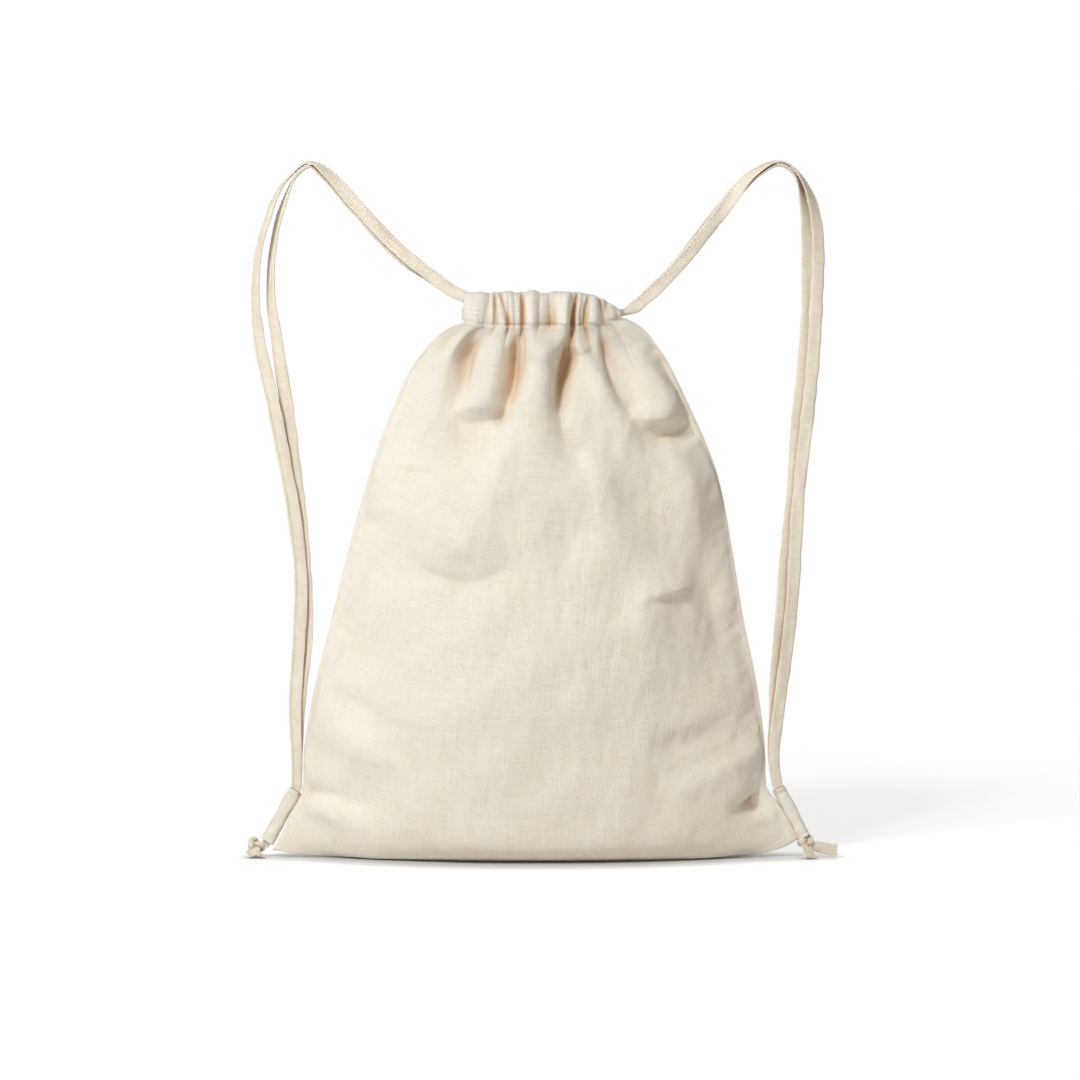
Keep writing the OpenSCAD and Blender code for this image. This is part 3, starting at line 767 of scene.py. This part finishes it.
class Sheet:
    """One side of the bag: body, neck and the casing folded inwards at the top."""

    def __init__(self, folds, slits, crests, seed):
        self.folds, self.slits, self.crests, self.seed = folds, slits, crests, seed
        s = np.linspace(-1, 1, COLS)
        self.u = 0.72 * s + 0.28 * np.sin(s * math.pi / 2)
        heights = 1 - (1 - np.linspace(0, 1, BODY_ROWS)) ** 1.18
        surface, carried = self.body(*np.meshgrid(self.u, heights))
        loop = self.casing(surface[-1], carried)
        self.points = np.concatenate([surface, loop], 0)
        past_body = outline.mid_length + np.linspace(1, 52, len(loop))
        self.uv = grid_uv(self.u * 190, np.concatenate([heights * outline.mid_length, past_body]))

    def casing_middle(self, u):
        """Where the middle of the casing's tube lies, which is where the cord lies."""
        return -(3.6 + (CORD_Y - 3.6) * (1 - np.abs(u) ** 6))

    def body(self, u, t):
        """Panel and neck up to the stitch line, and how high folds and gathers stand there."""
        x, y, z = outline.base(u, t)
        centre_y = self.casing_middle(u)
        join_y = centre_y - casing_outer(u) * START_COS
        y = mix(y, join_y, smooth(outline.top - 44, outline.top, z))
        z = z + tilt(x) * smooth(outline.top - 60, outline.top, z)

        surface = np.stack([x, y, z], -1)
        level = smooth(outline.top - 34, outline.top - 8, z)[..., None]
        normal = unit(mix(normals_of(surface), FORWARD, level))
        swell = mix(LOW_SWELL, HIGH_SWELL, smooth(250, 300, z))
        lift = sum(fold_height(x, z, points, sharp) * swell for sharp, points in self.folds)
        above = z - tilt(x) - outline.top
        lift = lift * (1 - 0.55 * smooth(-16, 0, above))
        lift = lift + gather_height(u, above, self.slits, self.crests)
        carried = lift[-1]
        held = above_cord(centre_y - y + lift, 1.0) - (centre_y - y)
        lift = mix(lift, held, smooth(-20, -3, above)) + self.ripples(u, t, x, z)

        edge = self.from_edge(u)
        lift *= smooth(0.0, 6.5, edge) * mix(0.06, 1.0, smooth(1.5, 22, z))
        surface = surface + normal * lift[..., None]
        room = mix(0.8, INNER_ROOM, smooth(0, 2.5, edge))
        surface[..., 1] = np.minimum(surface[..., 1], -room)
        surface[..., 2] = np.maximum(surface[..., 2], 0.0)
        return surface, carried

    def from_edge(self, u):
        """Roughly how far a point lies from the side seam, along the cloth."""
        return (1 - np.abs(u)) * 180

    def ripples(self, u, t, x, z):
        """Quiet unevenness of stuffed cloth, and puckers along the seams."""
        uneven = (1.5 * waves(x, z, 70, 150, 10, self.seed)
                  + 0.5 * waves(x, z * 0.6, 26, 60, 14, self.seed + 1)
                  + 0.14 * waves(x, z, 8, 20, 18, self.seed + 2))
        edge = self.from_edge(u)
        pucker = waves(t * outline.mid_length, edge * 0.25, 9, 26, 10, self.seed + 3)
        calm = 1 - 0.6 * (1 - smooth(40, 90, z))
        by_seam = np.exp(-edge / 16) * smooth(0, 3, edge)
        return uneven * smooth(0.0, 0.2, t) + 0.38 * pucker * calm * by_seam

    def casing(self, stitch_row, carried):
        """Rows over the top of the mouth, down inside, and back out to the stitch line."""
        rows = []
        x = stitch_row[:, 0]
        ruffled_top = 0.35 * waves(self.u * 60, 0 * self.u, 9, 25, 6, self.seed + 4)
        for way in np.arange(1, LOOP_ROWS + 1) / LOOP_ROWS:
            angle = math.radians(mix(LOOP_START, LOOP_END, way))
            out_y = signed_power(math.cos(angle), SQUARE)
            up = signed_power(math.sin(angle), SQUARE)
            if way < 0.25:
                up = mix(-1.0, up, smooth(0, 0.25, way))
            above = CASING_HALF * (1 + up)
            ruffle = (gather_height(self.u, np.full(x.shape, above), self.slits, self.crests)
                      + carried * (1 - 0.9 * (up + 1) / 2))
            y = self.casing_y(out_y, ruffle, above)
            z = (CASING_Z + CASING_HALF * up + tilt(x, (up + 1) / 2)
                 + (0.22 * ruffle + ruffled_top) * max(0.0, up))
            rows.append(np.stack([x, np.minimum(y, -LIP_ROOM), z], -1))
        last = rows[-1]
        tucked = np.stack([x, np.minimum(stitch_row[:, 1] + 1.3, -LIP_ROOM),
                           stitch_row[:, 2] - 1.5], -1)
        return np.array(rows + [mix(last, tucked, 0.5), tucked])

    def casing_y(self, out_y, ruffle, above):
        """Depth of one row of the casing: out_y is 1 at its outer face and -1 at its inner one."""
        middle = self.casing_middle(self.u)
        if out_y >= 0:
            part = min(1.0, out_y / START_COS)
            ahead = casing_outer(self.u) * out_y + ruffle * mix(0.45, 1.0, part)
            return middle - above_cord(ahead, part)
        inner_ruffle = gather_height(-self.u, np.full(self.u.shape, above), self.slits,
                                     self.crests)
        return (middle - casing_inner(self.u) * out_y
                - 0.45 * (ruffle * (1 + out_y) + inner_ruffle * out_y))

    def build(self, name, lip, *nodes):
        """The sheet as a piece, mirrored to the back for the back lip."""
        points = self.points.reshape(-1, 3).copy()
        back = lip == "back_lip"
        if back:
            points[:, 1] *= -1
        faces = grid_faces(*self.points.shape[:2], flip=back)
        obj = make_object(name, points, faces, [canvas], self.uv)
        thicken(obj, CLOTH)
        mount(obj, lip, "canvas", *nodes)


def lip_weight(co):
    """How far a point of the cloth follows its half of the mouth: none at the side seams and
    below the hinge, all in the middle of the mouth."""
    side = np.clip(1 - ((co[:, 0] / MM - MOUTH_X) / (MOUTH_HALF + 0.5)) ** 2, 0, 1) ** 1.2
    hinge_z = joint("mouth_front")[0][2]
    return smooth(hinge_z - 45, outline.top + 4, co[:, 2] / MM) * side


def on_lip(obj):
    """Bake a piece in place and work out how far each of its points would follow its half of the
    mouth; the weights are then dropped.
    """
    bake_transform(obj)
    co = np.empty(len(obj.data.vertices) * 3)
    obj.data.vertices.foreach_get("co", co)
    weights = lip_weight(co.reshape(-1, 3)).astype(np.float32)


front = Sheet(FRONT_FOLDS, FRONT_SLITS, FRONT_CRESTS, seed=3)
rear = Sheet(random_folds(21), random_slits(5), BACK_CRESTS, seed=40)
front.build("front_cloth", "front_lip", "front_panel", "front_neck", "front_casing")
rear.build("back_cloth", "back_lip", "back_panel", "back_neck", "back_casing")


# ---- stitches ----

STITCH_SIDES = 6
STITCH_RINGS = [(-0.5, 0.25), (-0.38, 0.8), (-0.15, 1.0), (0.15, 1.0), (0.38, 0.8), (0.5, 0.25)]


def stitch_template():
    """A stitch lying along X, one long and one thick: points and faces."""
    turn = TWO_PI * np.arange(STITCH_SIDES) / STITCH_SIDES
    points = [(x, r * math.cos(a), r * math.sin(a)) for x, r in STITCH_RINGS for a in turn]
    faces = grid_faces(len(STITCH_RINGS), STITCH_SIDES, wrap=True).tolist()
    faces.append(list(range(STITCH_SIDES)))
    faces.append([len(points) - 1 - k for k in range(STITCH_SIDES)])
    return np.array(points), faces


STITCH, STITCH_FACES = stitch_template()


def stitches_along(path, normals, pitch, length, radius):
    """Stitches laid along a path on a surface: points and faces."""
    along = lengths(path)

    def at(rows, distance):
        return np.array([np.interp(distance, along, column) for column in rows.T])

    stitches = []
    for middle in np.arange(pitch / 2, along[-1] - pitch / 2, pitch):
        start, end = at(path, middle - length / 2), at(path, middle + length / 2)
        heading = unit(end - start)
        side = unit(np.cross(at(normals, middle), heading))
        up = np.cross(heading, side)
        centre = (start + end) / 2 + up * radius * 0.35
        axes = np.array([heading * length, side * radius, up * radius])
        stitches.append((centre + STITCH @ axes, STITCH_FACES))
    return joined(stitches)


def casing_seam(name, sheet, lip, node):
    """The line of stitches under the casing."""
    row = BODY_ROWS - 4
    inside = np.abs(sheet.u) < 0.985
    path, normals = sheet.points[row][inside], normals_of(sheet.points)[row][inside]
    points, faces = stitches_along(path, normals, 3.2, 2.2, 0.2)
    if lip == "back_lip":
        points[:, 1] *= -1
        faces = [f[::-1] for f in faces]
    mount(make_object(name, points, faces, [thread]), lip, "thread", node)


casing_seam("front_casing_seam", front, "front_lip", "front_casing_stitches")
casing_seam("back_casing_seam", rear, "back_lip", "back_casing_stitches")


# ---- flat cord ----

TAPE_FACE = [-1.0, -0.94, -0.72, -0.4, 0.0, 0.3, 0.46, 0.54, 0.62, 0.8, 0.94, 1.0]
TAPE_FOLD = 0.54           # where the fold of the cloth closes, on one face
TAPE_SEAM = 0.76           # where it is sewn


def tape_section():
    """The cord's rounded flat section, one wide and one thick, with the line where the fold closes."""
    points = []
    for side, row in ((1, TAPE_FACE), (-1, TAPE_FACE[::-1])):
        for f in row:
            thick = math.sqrt(1 - max(0.0, (abs(f) - 0.72) / 0.28) ** 2) if abs(f) < 1 else 0.35
            if f == TAPE_FOLD and side > 0:
                thick -= 0.55
            points.append((f, side * thick))
    return np.array(points)


SECTION = tape_section()
SECTION_ALONG = lengths(SECTION * [4.5, 0.8])


def tape(centres, wides, half_w, half_t, seed, stitched=True, crumple=1.0, keep=slice(None)):
    """A strip of folded tape through the kept rings: points, faces, uv, material numbers, and
    the numbers of the faces at its two cut ends."""
    n = len(centres)
    along = lengths(centres)
    heading = unit(np.gradient(centres, axis=0))
    wides = unit(wides - np.sum(wides * heading, 1, keepdims=True) * heading)
    thick = np.cross(wides, heading)

    def sway_of(size, shortest, longest, count, extra):
        return size * crumple * waves(along, 0 * along, shortest, longest, count, seed + extra)

    half_w = np.broadcast_to(half_w, n) * (1 + sway_of(0.035, 14, 60, 8, 0))
    sway = sway_of(0.22, 18, 70, 8, 1)
    cup = sway_of(0.35, 24, 80, 6, 2)
    f, g = SECTION.T
    lift = g * half_t + cup[:, None] * (f ** 2 - 0.4) + sway[:, None]
    rings = (centres[:, None] + (f * half_w[:, None])[..., None] * wides[:, None]
             + lift[..., None] * thick[:, None])[keep]

    rows, cols = rings.shape[:2]
    points = np.concatenate([rings.reshape(-1, 3), rings[0], rings[-1]])
    faces = grid_faces(rows, cols, wrap=True, flip=True).tolist()
    caps = [len(faces), len(faces) + 1]
    first, last = (rows * cols + np.arange(2 * cols)).reshape(2, cols).tolist()
    faces += [first, last[::-1]]
    uv = grid_uv(SECTION_ALONG, along[keep])
    uv = np.concatenate([uv, uv[:cols], uv[-cols:]])
    parts = [(points, faces)]
    for face in (1, -1) if stitched else ():
        lift = face * half_t * 0.93 + cup * 0.18 + sway
        lane = centres + wides * (TAPE_SEAM * half_w)[:, None] + thick * lift[:, None]
        parts.append(stitches_along(lane[keep], (thick * face)[keep], 3.1, 2.0, 0.24))
    points, all_faces = joined(parts)
    uv = np.concatenate([uv, np.zeros((len(points) - len(uv), 2))])
    kinds = [0] * len(faces) + [1] * (len(all_faces) - len(faces))
    return points, all_faces, uv, kinds, caps


def tapes_object(name, *tapes):
    """Tapes as one piece. Their cut ends are flat, so that the sides keep their own shading."""
    points, faces = joined([t[:2] for t in tapes])
    uv = np.concatenate([t[2] for t in tapes])
    kinds = sum((t[3] for t in tapes), [])
    obj = make_object(name, points, faces, [cord_cloth, thread], uv, kinds)
    base = 0
    for t in tapes:
        for cap in t[4]:
            obj.data.polygons[base + cap].use_smooth = False
        base += len(t[1])
    return obj


# Each tab's foot and top, counted up from its knot, and its offset towards the bag at both.
TAB_FOOT = {-1: 5.6, 1: 7.0}
TAB_TOP = {-1: 46.4, 1: 45.4}
TAB_OFFSET = {-1: (3.7, 1.5), 1: (1.1, 2.7)}
TAB_HALF = 4.5             # half its width


class TabFrame:
    """The sleeve's own directions: up its length, across towards the bag, and to the front."""

    def __init__(self, side):
        self.side = side
        self.knot, self.up = joint(f"{SIDES[side]}_knot_twist")
        self.inward = unit(np.cross(self.up, FORWARD))
        if self.inward[0] * side > 0:
            self.inward = -self.inward
        self.foot, self.top = TAB_FOOT[side], TAB_TOP[side]

    def at(self, inward, front, up):
        inward, front, up = (a[..., None] for a in np.broadcast_arrays(inward, front, up))
        return self.knot + inward * self.inward + front * FORWARD + up * self.up

    def middle(self, up):
        """How far the sleeve's middle line lies towards the bag."""
        share = np.clip((up - self.foot) / (self.top - self.foot), -0.2, 1.2)
        return mix(*TAB_OFFSET[self.side], share)


def rings_of(node, from_point):
    """A CAD strand's rings of four corners, from the end nearest from_point."""
    mesh = frame["nodes"][node].data
    corners = np.array([v.co for v in mesh.vertices]) / MM
    keys = {}
    merged = [keys.setdefault(tuple(np.round(p, 2)), len(keys)) for p in corners]
    spots = np.zeros((len(keys), 3))
    spots[merged] = corners
    near = [set() for _ in keys]
    for p in mesh.polygons:
        ids = [merged[i] for i in p.vertices]
        for a in ids:
            near[a].update(ids)
    ring = list(np.argsort(np.linalg.norm(spots - from_point, axis=1))[:4])
    seen = set(ring)
    while len(ring) == 4:
        yield spots[ring]
        ring = sorted({b for a in ring for b in near[a]} - seen)
        seen.update(ring)


def strand_line(node, from_point):
    """A CAD strand's middle line: centres, width directions and half widths."""
    rows = []
    for ring in rings_of(node, from_point):
        _, wide, _ = sorted((corner - ring[0] for corner in ring[1:]), key=np.linalg.norm)
        if rows and np.dot(wide, rows[-1][3:6]) < 0:
            wide = -wide
        rows.append([*ring.mean(0), *unit(wide), np.linalg.norm(wide) / 2])
    return np.array(rows)


EXIT_LIFT = {-1: 3.0, 1: 1.8}    # the cords ride high in the ends of the casing
EXIT_GAP = 7               # rings nearer the exit than this give way to the bend at the mouth
STRAND_HALF = 4.2          # a cord's half width, at least
CORD_THICK = 0.8           # half its thickness


def strand(node, side, seed):
    """Both halves of one strand: the upper one bends out of the mouth, the lower one into its tab."""
    strap, sleeve = f"{SIDES[side]}_strap", f"{SIDES[side]}_sleeve"
    exit_point = joint(f"{strap}_swing")[0]
    line = strand_line(node, exit_point)
    from_exit = np.linalg.norm(line[:, :3] - exit_point, axis=1)
    line[:, 2] += EXIT_LIFT[side] * bell(from_exit, 0, 14)
    kept = np.linalg.norm(line[:, :3] - exit_point, axis=1) > EXIT_GAP
    if np.dot(UPRIGHT, line[kept][0, 3:6]) < 0:
        line[:, 3:6] *= -1

    f = TabFrame(side)
    drop = np.maximum((line[:, :3] - f.knot) @ f.up - f.top, 0)
    settle = bell(drop, 0, 30)
    line[:, :3] += settle[:, None] * f.middle(f.top) * f.inward
    line[:, 6] = np.maximum(line[:, 6], STRAND_HALF) * (1 - 0.24 * settle)
    end = casing_hi[0] if side > 0 else casing_lo[0]
    face_y = 1 if "back" in node else -1
    in_x = end - side * 4
    inside = [in_x, face_y * 7.3, in_casing(in_x, exit_point[2]) + EXIT_LIFT[side] * 0.3]
    mouth = np.array([end + side * 0.5, face_y * 3.0, exit_point[2] + EXIT_LIFT[side]])
    mouth_half = mix(cord_half(mouth[0], 3.9), 3.9, 0.4)
    into = f.at(f.middle(f.top), -face_y * 1.0, f.top - 8)
    rings = spline([[*inside, *UPRIGHT, cord_half(in_x, 3.0)], [*mouth, *UPRIGHT, mouth_half],
                    *line[kept], [*into, *line[-1, 3:6], 3.2]], 3)

    centres, wides = rings[:, :3], unit(rings[:, 3:6])
    half_way = len(rings) // 2
    for part, keep in (("upper", slice(0, half_way + 1)), ("lower", slice(half_way, None))):
        obj = tapes_object(f"{node}_{part}", tape(centres, wides, rings[:, 6], CORD_THICK, seed,
                                                  keep=keep))
        if part == "upper":
            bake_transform(obj)
            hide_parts(node)
        else:
            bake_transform(obj)


for k, (side, face) in enumerate(((-1, "front"), (-1, "back"), (1, "front"), (1, "back"))):
    strand(f"{SIDES[side]}_{face}_strand", side, 60 + 5 * k)


def hidden_cord(node, body, centres, widest, seed, crumple):
    """A length of cord inside the casing."""
    flat = tape(centres, np.tile(UPRIGHT, (len(centres), 1)), cord_half(centres[:, 0], widest),
                0.7, seed, stitched=False, crumple=crumple)
    mount(tapes_object(node + "_tape", flat), body, "cord", node)


def straight_run(side, face, seed):
    """The length of cord along the casing."""
    node = f"{SIDES[side]}_cord_{face}_run"
    lo, hi = box_mm(node)
    _, y, z = (lo + hi) / 2
    x = np.linspace(lo[0] + 4, hi[0] - 4, 50)
    pull = (np.abs(x - MOUTH_X) / MOUTH_HALF) ** 6
    centres = np.column_stack([x, y * (1 - 0.45 * pull), in_casing(x, z)])
    hidden_cord(node, f"{face}_lip", centres, 4.3, seed, 0.5)


def turn(side, seed):
    """The cord's return from the front casing to the back one, at the end across from its own
    side, tucked into the casing."""
    node = f"{SIDES[-side]}_cord_turn"
    lo, hi = box_mm(node)
    end = hi[0] if side > 0 else lo[0]
    z = in_casing(end - side * 6, (lo[2] + hi[2]) / 2)
    half = CORD_Y * 0.62
    a = np.linspace(-math.pi / 2, math.pi / 2, 25)
    bend = np.column_stack([end - side * (4.5 - 3.0 * np.cos(a)), half * np.sin(a), np.full(25, z)])
    lead = np.array([[end - side * 9, -half - 1.0, z], [end - side * 7, -half - 0.4, z]])
    centres = np.concatenate([lead, bend, lead[::-1] * [1, -1, 1]])
    hidden_cord(node, "bag", centres, 4.0, seed, 0.4)


for k, (side, face) in enumerate(((-1, "front"), (-1, "back"), (1, "front"), (1, "back"))):
    straight_run(side, face, 90 + 4 * k)
turn(1, 110)
turn(-1, 114)


# ---- tabs and knots ----

TAB_ROWS = 60
TAB_COLS = 44
TAB_CLOTH = 0.8
KNOT_SHIFT = {-1: (-1.7, -1.0), 1: (-2.6, 1.4)}    # of the knot's middle, in x and z
KNOT_SIZE = {-1: 6.6, 1: 5.4}

# The cut ends below each knot, from the knot's middle: (towards the bag's outside, towards the
# front, up) at the start, half way and at the tip, then how far the tape leans and its half width.
CORD_ENDS = {
    -1: [([(-1.0, 2.0, -1.0), (1.5, 4.5, -3.6), (4.6, 7.0, -4.9)], 1.1, 3.4),
         ([(0.0, 1.5, -1.5), (-2.5, 5.0, -4.2), (-5.2, 8.5, -5.2)], 1.25, 3.2)],
    1: [([(0.0, 2.0, -1.0), (1.0, 7.0, -5.0), (2.6, 13.0, -8.8)], 1.35, 4.3),
        ([(2.0, 1.0, -1.0), (11.0, 1.5, -3.0), (21.5, 3.0, -5.4)], 0.15, 4.2)],
}


def tab_surface(f):
    """The sleeve's outer face: a flattened tube, pinched at its hems, with a sewn edge towards
    the bag."""
    ups = np.linspace(f.foot, f.top, TAB_ROWS)
    a, up = np.meshgrid(np.linspace(0, TWO_PI, TAB_COLS, endpoint=False), ups)
    share = (up - f.foot) / (f.top - f.foot)
    hem = bell(share, 0.9, 0.012) + bell(share, 0.06, 0.012)
    wide = TAB_HALF + 0.2 * np.cos(share * 9 + f.side) - 0.2 * hem
    thick = 2.5 + 0.35 * np.sin(share * 11 + 1) - 0.4 * hem
    thick += 0.8 * smooth(0.9, 1.0, share) + 0.5 * smooth(0.08, 0.0, share)
    c, s = np.cos(a), np.sin(a)
    ripple = 0.28 * waves(a * 4, up, 7, 20, 10, 130 + f.side)
    inward = wide * signed_power(c, 0.75) * (1 + 0.04 * ripple)
    ahead = thick * signed_power(s, 0.9) + ripple * s
    sewn_edge = 0.7 * np.clip((c - 0.93) / 0.07, 0, 1)
    return f.at(inward + sewn_edge + f.middle(up), ahead, up), ups


def tab(side):
    """A sleeve of canvas with a hem at each end, its stitches, and the two cords inside."""
    label, f = SIDES[side], TabFrame(side)
    sleeve = f"{label}_sleeve"
    surface, ups = tab_surface(f)
    uv = grid_uv(np.linspace(0, 32, TAB_COLS), ups)
    faces = grid_faces(TAB_ROWS, TAB_COLS, wrap=True, flip=side < 0)
    obj = make_object(f"{label}_tab_sleeve", surface.reshape(-1, 3), faces, [canvas], uv)
    thicken(obj, TAB_CLOTH)
    mount(obj, sleeve, "canvas", f"{label}_tab")

    hems = []
    for level in (f.top - 4.2, f.foot + 3.0):
        ring = surface[np.argmin(np.abs(ups - level))]
        outward = unit(ring - ring.mean(0))
        hems.append(stitches_along(np.concatenate([ring, ring[:1]]),
                                   np.concatenate([outward, outward[:1]]), 2.7, 1.9, 0.2))
    seams = make_object(f"{label}_tab_hem_seams", *joined(hems), [thread])
    mount(seams, sleeve, "thread", f"{label}_tab_stitches")

    cords = []
    up = np.linspace(f.foot - 3.5, f.top - 5, 16)
    for face in (-1, 1):
        centres = f.at(f.middle(up) + 0.3 * np.sin(up * 0.3), face * 0.85, up)
        cords.append(tape(centres, np.tile(f.inward, (len(up), 1)), 2.9, 0.7, 140 + face,
                          stitched=False, crumple=0.4))
    mount(tapes_object(f"{label}_tab_cord_lengths", *cords), sleeve, "cord", f"{label}_tab_cords")


def knot(side):
    """Two flat cords bunched and tied together below the sleeve, with their cut ends."""
    label, f = SIDES[side], TabFrame(side)
    shift_x, shift_z = KNOT_SHIFT[side]
    middle = f.knot + [shift_x, 0, shift_z]
    a = np.linspace(0, TWO_PI, 120, endpoint=False)
    scale = KNOT_SIZE[side] / 3.9
    path_in = scale * (np.sin(a) + 2 * np.sin(2 * a)) * 0.98
    path_up = scale * (np.cos(a) - 2 * np.cos(2 * a)) * 0.94
    centre = f.at(path_in, -2.6 * np.sin(3 * a), path_up) - f.knot + middle
    heading = unit(np.roll(centre, -1, 0) - np.roll(centre, 1, 0))
    across = unit(np.cross(heading, FORWARD))
    spin = (0.5 * np.sin(2 * a + side) + 0.35)[:, None]
    wide = across * np.cos(spin) + np.cross(across, heading) * np.sin(spin)
    thick = np.cross(heading, wide)
    rows, cols = len(a), 20
    b = np.linspace(0, TWO_PI, cols, endpoint=False)
    swell = (1 + 0.10 * np.sin(5 * a + 1) + 0.06 * np.sin(9 * a))[:, None]
    out_wide = 2.3 * swell * signed_power(np.cos(b), 0.7)
    out_thick = 1.6 * swell * (np.sin(b) * (1 - 0.16 * bell(np.cos(b), 0, 0.22)))
    bundle = (centre[:, None] + wide[:, None] * out_wide[..., None]
              + thick[:, None] * out_thick[..., None])
    bundle[..., 2] = np.maximum(bundle[..., 2], 0.2)
    faces = grid_faces(rows + 1, cols, wrap=True) % (rows * cols)
    uv = grid_uv(np.linspace(0, 14, cols), np.linspace(0, 70, rows))
    body = make_object(f"{label}_knot_bundle", bundle.reshape(-1, 3), faces, [cord_cloth], uv)
    mount(body, f"{label}_end", "cord", f"{label}_knot")

    ends = []
    for k, (path, lean, half) in enumerate(CORD_ENDS[side]):
        path = spline([middle + [side * x, -y, z] for x, y, z in path], 10)
        heading = unit(np.gradient(path, axis=0))
        level = unit(np.cross(heading, UPRIGHT))
        wides = np.cross(level, heading) * math.cos(lean) + level * math.sin(lean)
        halves = half * (0.7 + 0.3 * smooth(0, 0.5, np.linspace(0, 1, len(path))))
        path[:, 2] = np.maximum(path[:, 2], 1.0 + halves * np.abs(wides[:, 2]))
        ends.append(tape(path, wides, halves, 0.85, 150 + k + side))
    mount(tapes_object(f"{label}_cord_ends", *ends), f"{label}_end", "cord", f"{label}_tails")


for side in SIDES:
    tab(side)
    knot(side)


# ---- seams inside the bag keep their CAD shape ----

seam_cloth = raw_edge("seam_cloth", 0.00075)
for cloth_node, stitch_node in (("left_side_seam", "left_seam_stitches"),
                                ("right_side_seam", "right_seam_stitches"),
                                ("bottom_seam", "bottom_seam_stitches")):
    for node, material in ((cloth_node, seam_cloth), (stitch_node, thread)):
        slots = frame["nodes"][node].data.materials
        slots.clear()
        slots.append(material)


# ---- stage, light and camera, in metres ----

FLOOR_HALF = 14000         # millimetres
FLOOR_Z = -0.3             # millimetres
LIGHT_TARGET = (0, 0, 0.2)
# Each light's place, size, power in watts and colour.
LIGHTS = {
    "key": ((-0.92, -1.36, 1.62), 0.45, 35.0, (1.0, 1.0, 0.99)),
    "fill": ((1.6, -1.8, 0.4), 0.9, 3.5, (1.0, 0.78, 0.55)),
    "behind": ((0.9, 2.3, 1.3), 1.4, 16, (1.0, 0.97, 0.93)),
}
ROOM_TINT = (1.0, 0.94, 0.87)
ROOM_POWER = 0.29
CAMERA_TARGET = Vector((0.0007, 0, 0.2207))
CAMERA_DISTANCE = 2.6
CAMERA_RISE = math.radians(3.2)
CAMERA_FRAMED = 0.7484     # width of the view at the target
SENSOR = 36                # millimetres


def floor_material():
    """A white floor: the camera sees it near pure white with a faint shadow, dark only where
    something rests on it, where its glow is dimmed as a painted contact shadow; other rays see plain
    pale paint."""
    n = Material("floor")
    shadow = n.add("ShaderNodeBsdfDiffuse", Color=(0.45, 0.45, 0.45))
    # painted contact shadow: the glow fades where things stand close to the floor
    contact_shade = n.add("ShaderNodeAmbientOcclusion", Distance=0.03, samples=8)
    glow = n.times(n.math("POWER", contact_shade.outputs["AO"], 2.0), 0.68)
    near = n.add("ShaderNodeAddShader")
    n.link(shadow.outputs[0], near.inputs[0])
    n.link(n.add("ShaderNodeEmission", Strength=glow).outputs[0], near.inputs[1])
    far = n.add("ShaderNodeEmission", Strength=1.0)
    distance = n.add("ShaderNodeVectorMath", operation="LENGTH")
    n.link(n.place(), distance.inputs[0])
    ring = n.add("ShaderNodeMapRange", interpolation_type="SMOOTHSTEP", From_Min=0.45,
                 From_Max=0.95, Value=distance.outputs["Value"])
    seen = n.shader_mix(ring.outputs[0], near.outputs[0], far.outputs[0])
    paint = n.add("ShaderNodeBsdfDiffuse", Color=(0.86, 0.86, 0.86))
    camera_ray = n.add("ShaderNodeLightPath").outputs["Is Camera Ray"]
    surface = n.shader_mix(camera_ray, paint.outputs[0], seen)
    n.link(surface, n.tree.nodes["Material Output"].inputs["Surface"])
    return n.material


def stage():
    signs = ((-1, -1), (1, -1), (1, 1), (-1, 1))
    corners = [(x * FLOOR_HALF, y * FLOOR_HALF, FLOOR_Z) for x, y in signs]
    make_object("floor", corners, [(0, 1, 2, 3)], [floor_material()])


def aim(obj, at, target):
    obj.location = at
    obj.rotation_euler = (Vector(target) - Vector(at)).to_track_quat("-Z", "Y").to_euler()


def lighting():
    for name, (at, size, power, colour) in LIGHTS.items():
        data = bpy.data.lights.new(name, "AREA")
        data.shape = "DISK"
        data.size = size
        data.energy = power
        data.color = colour
        aim(add_object(name, data), at, LIGHT_TARGET)
    world = bpy.data.worlds.new("studio")
    world.use_nodes = True
    n = Nodes(world.node_tree)
    camera_ray = n.add("ShaderNodeLightPath").outputs["Is Camera Ray"]
    power = n.add("ShaderNodeMapRange", To_Min=ROOM_POWER, To_Max=1.0, Value=camera_ray)
    background = n.tree.nodes["Background"]
    n.link(n.tint(camera_ray, ROOM_TINT, (1, 1, 1)), background.inputs[0])
    n.link(power.outputs[0], background.inputs[1])
    bpy.context.scene.world = world
    bpy.context.scene.view_settings.view_transform = "Standard"


def camera():
    """Just above the floor and almost level, far off with a long lens."""
    data = bpy.data.cameras.new("camera")
    data.sensor_width = SENSOR
    data.lens = SENSOR * CAMERA_DISTANCE / CAMERA_FRAMED
    cam = add_object("camera", data)
    away = Vector((0, -math.cos(CAMERA_RISE), math.sin(CAMERA_RISE)))
    aim(cam, CAMERA_TARGET + away * CAMERA_DISTANCE, CAMERA_TARGET)
    bpy.context.scene.camera = cam


stage()
lighting()
camera()
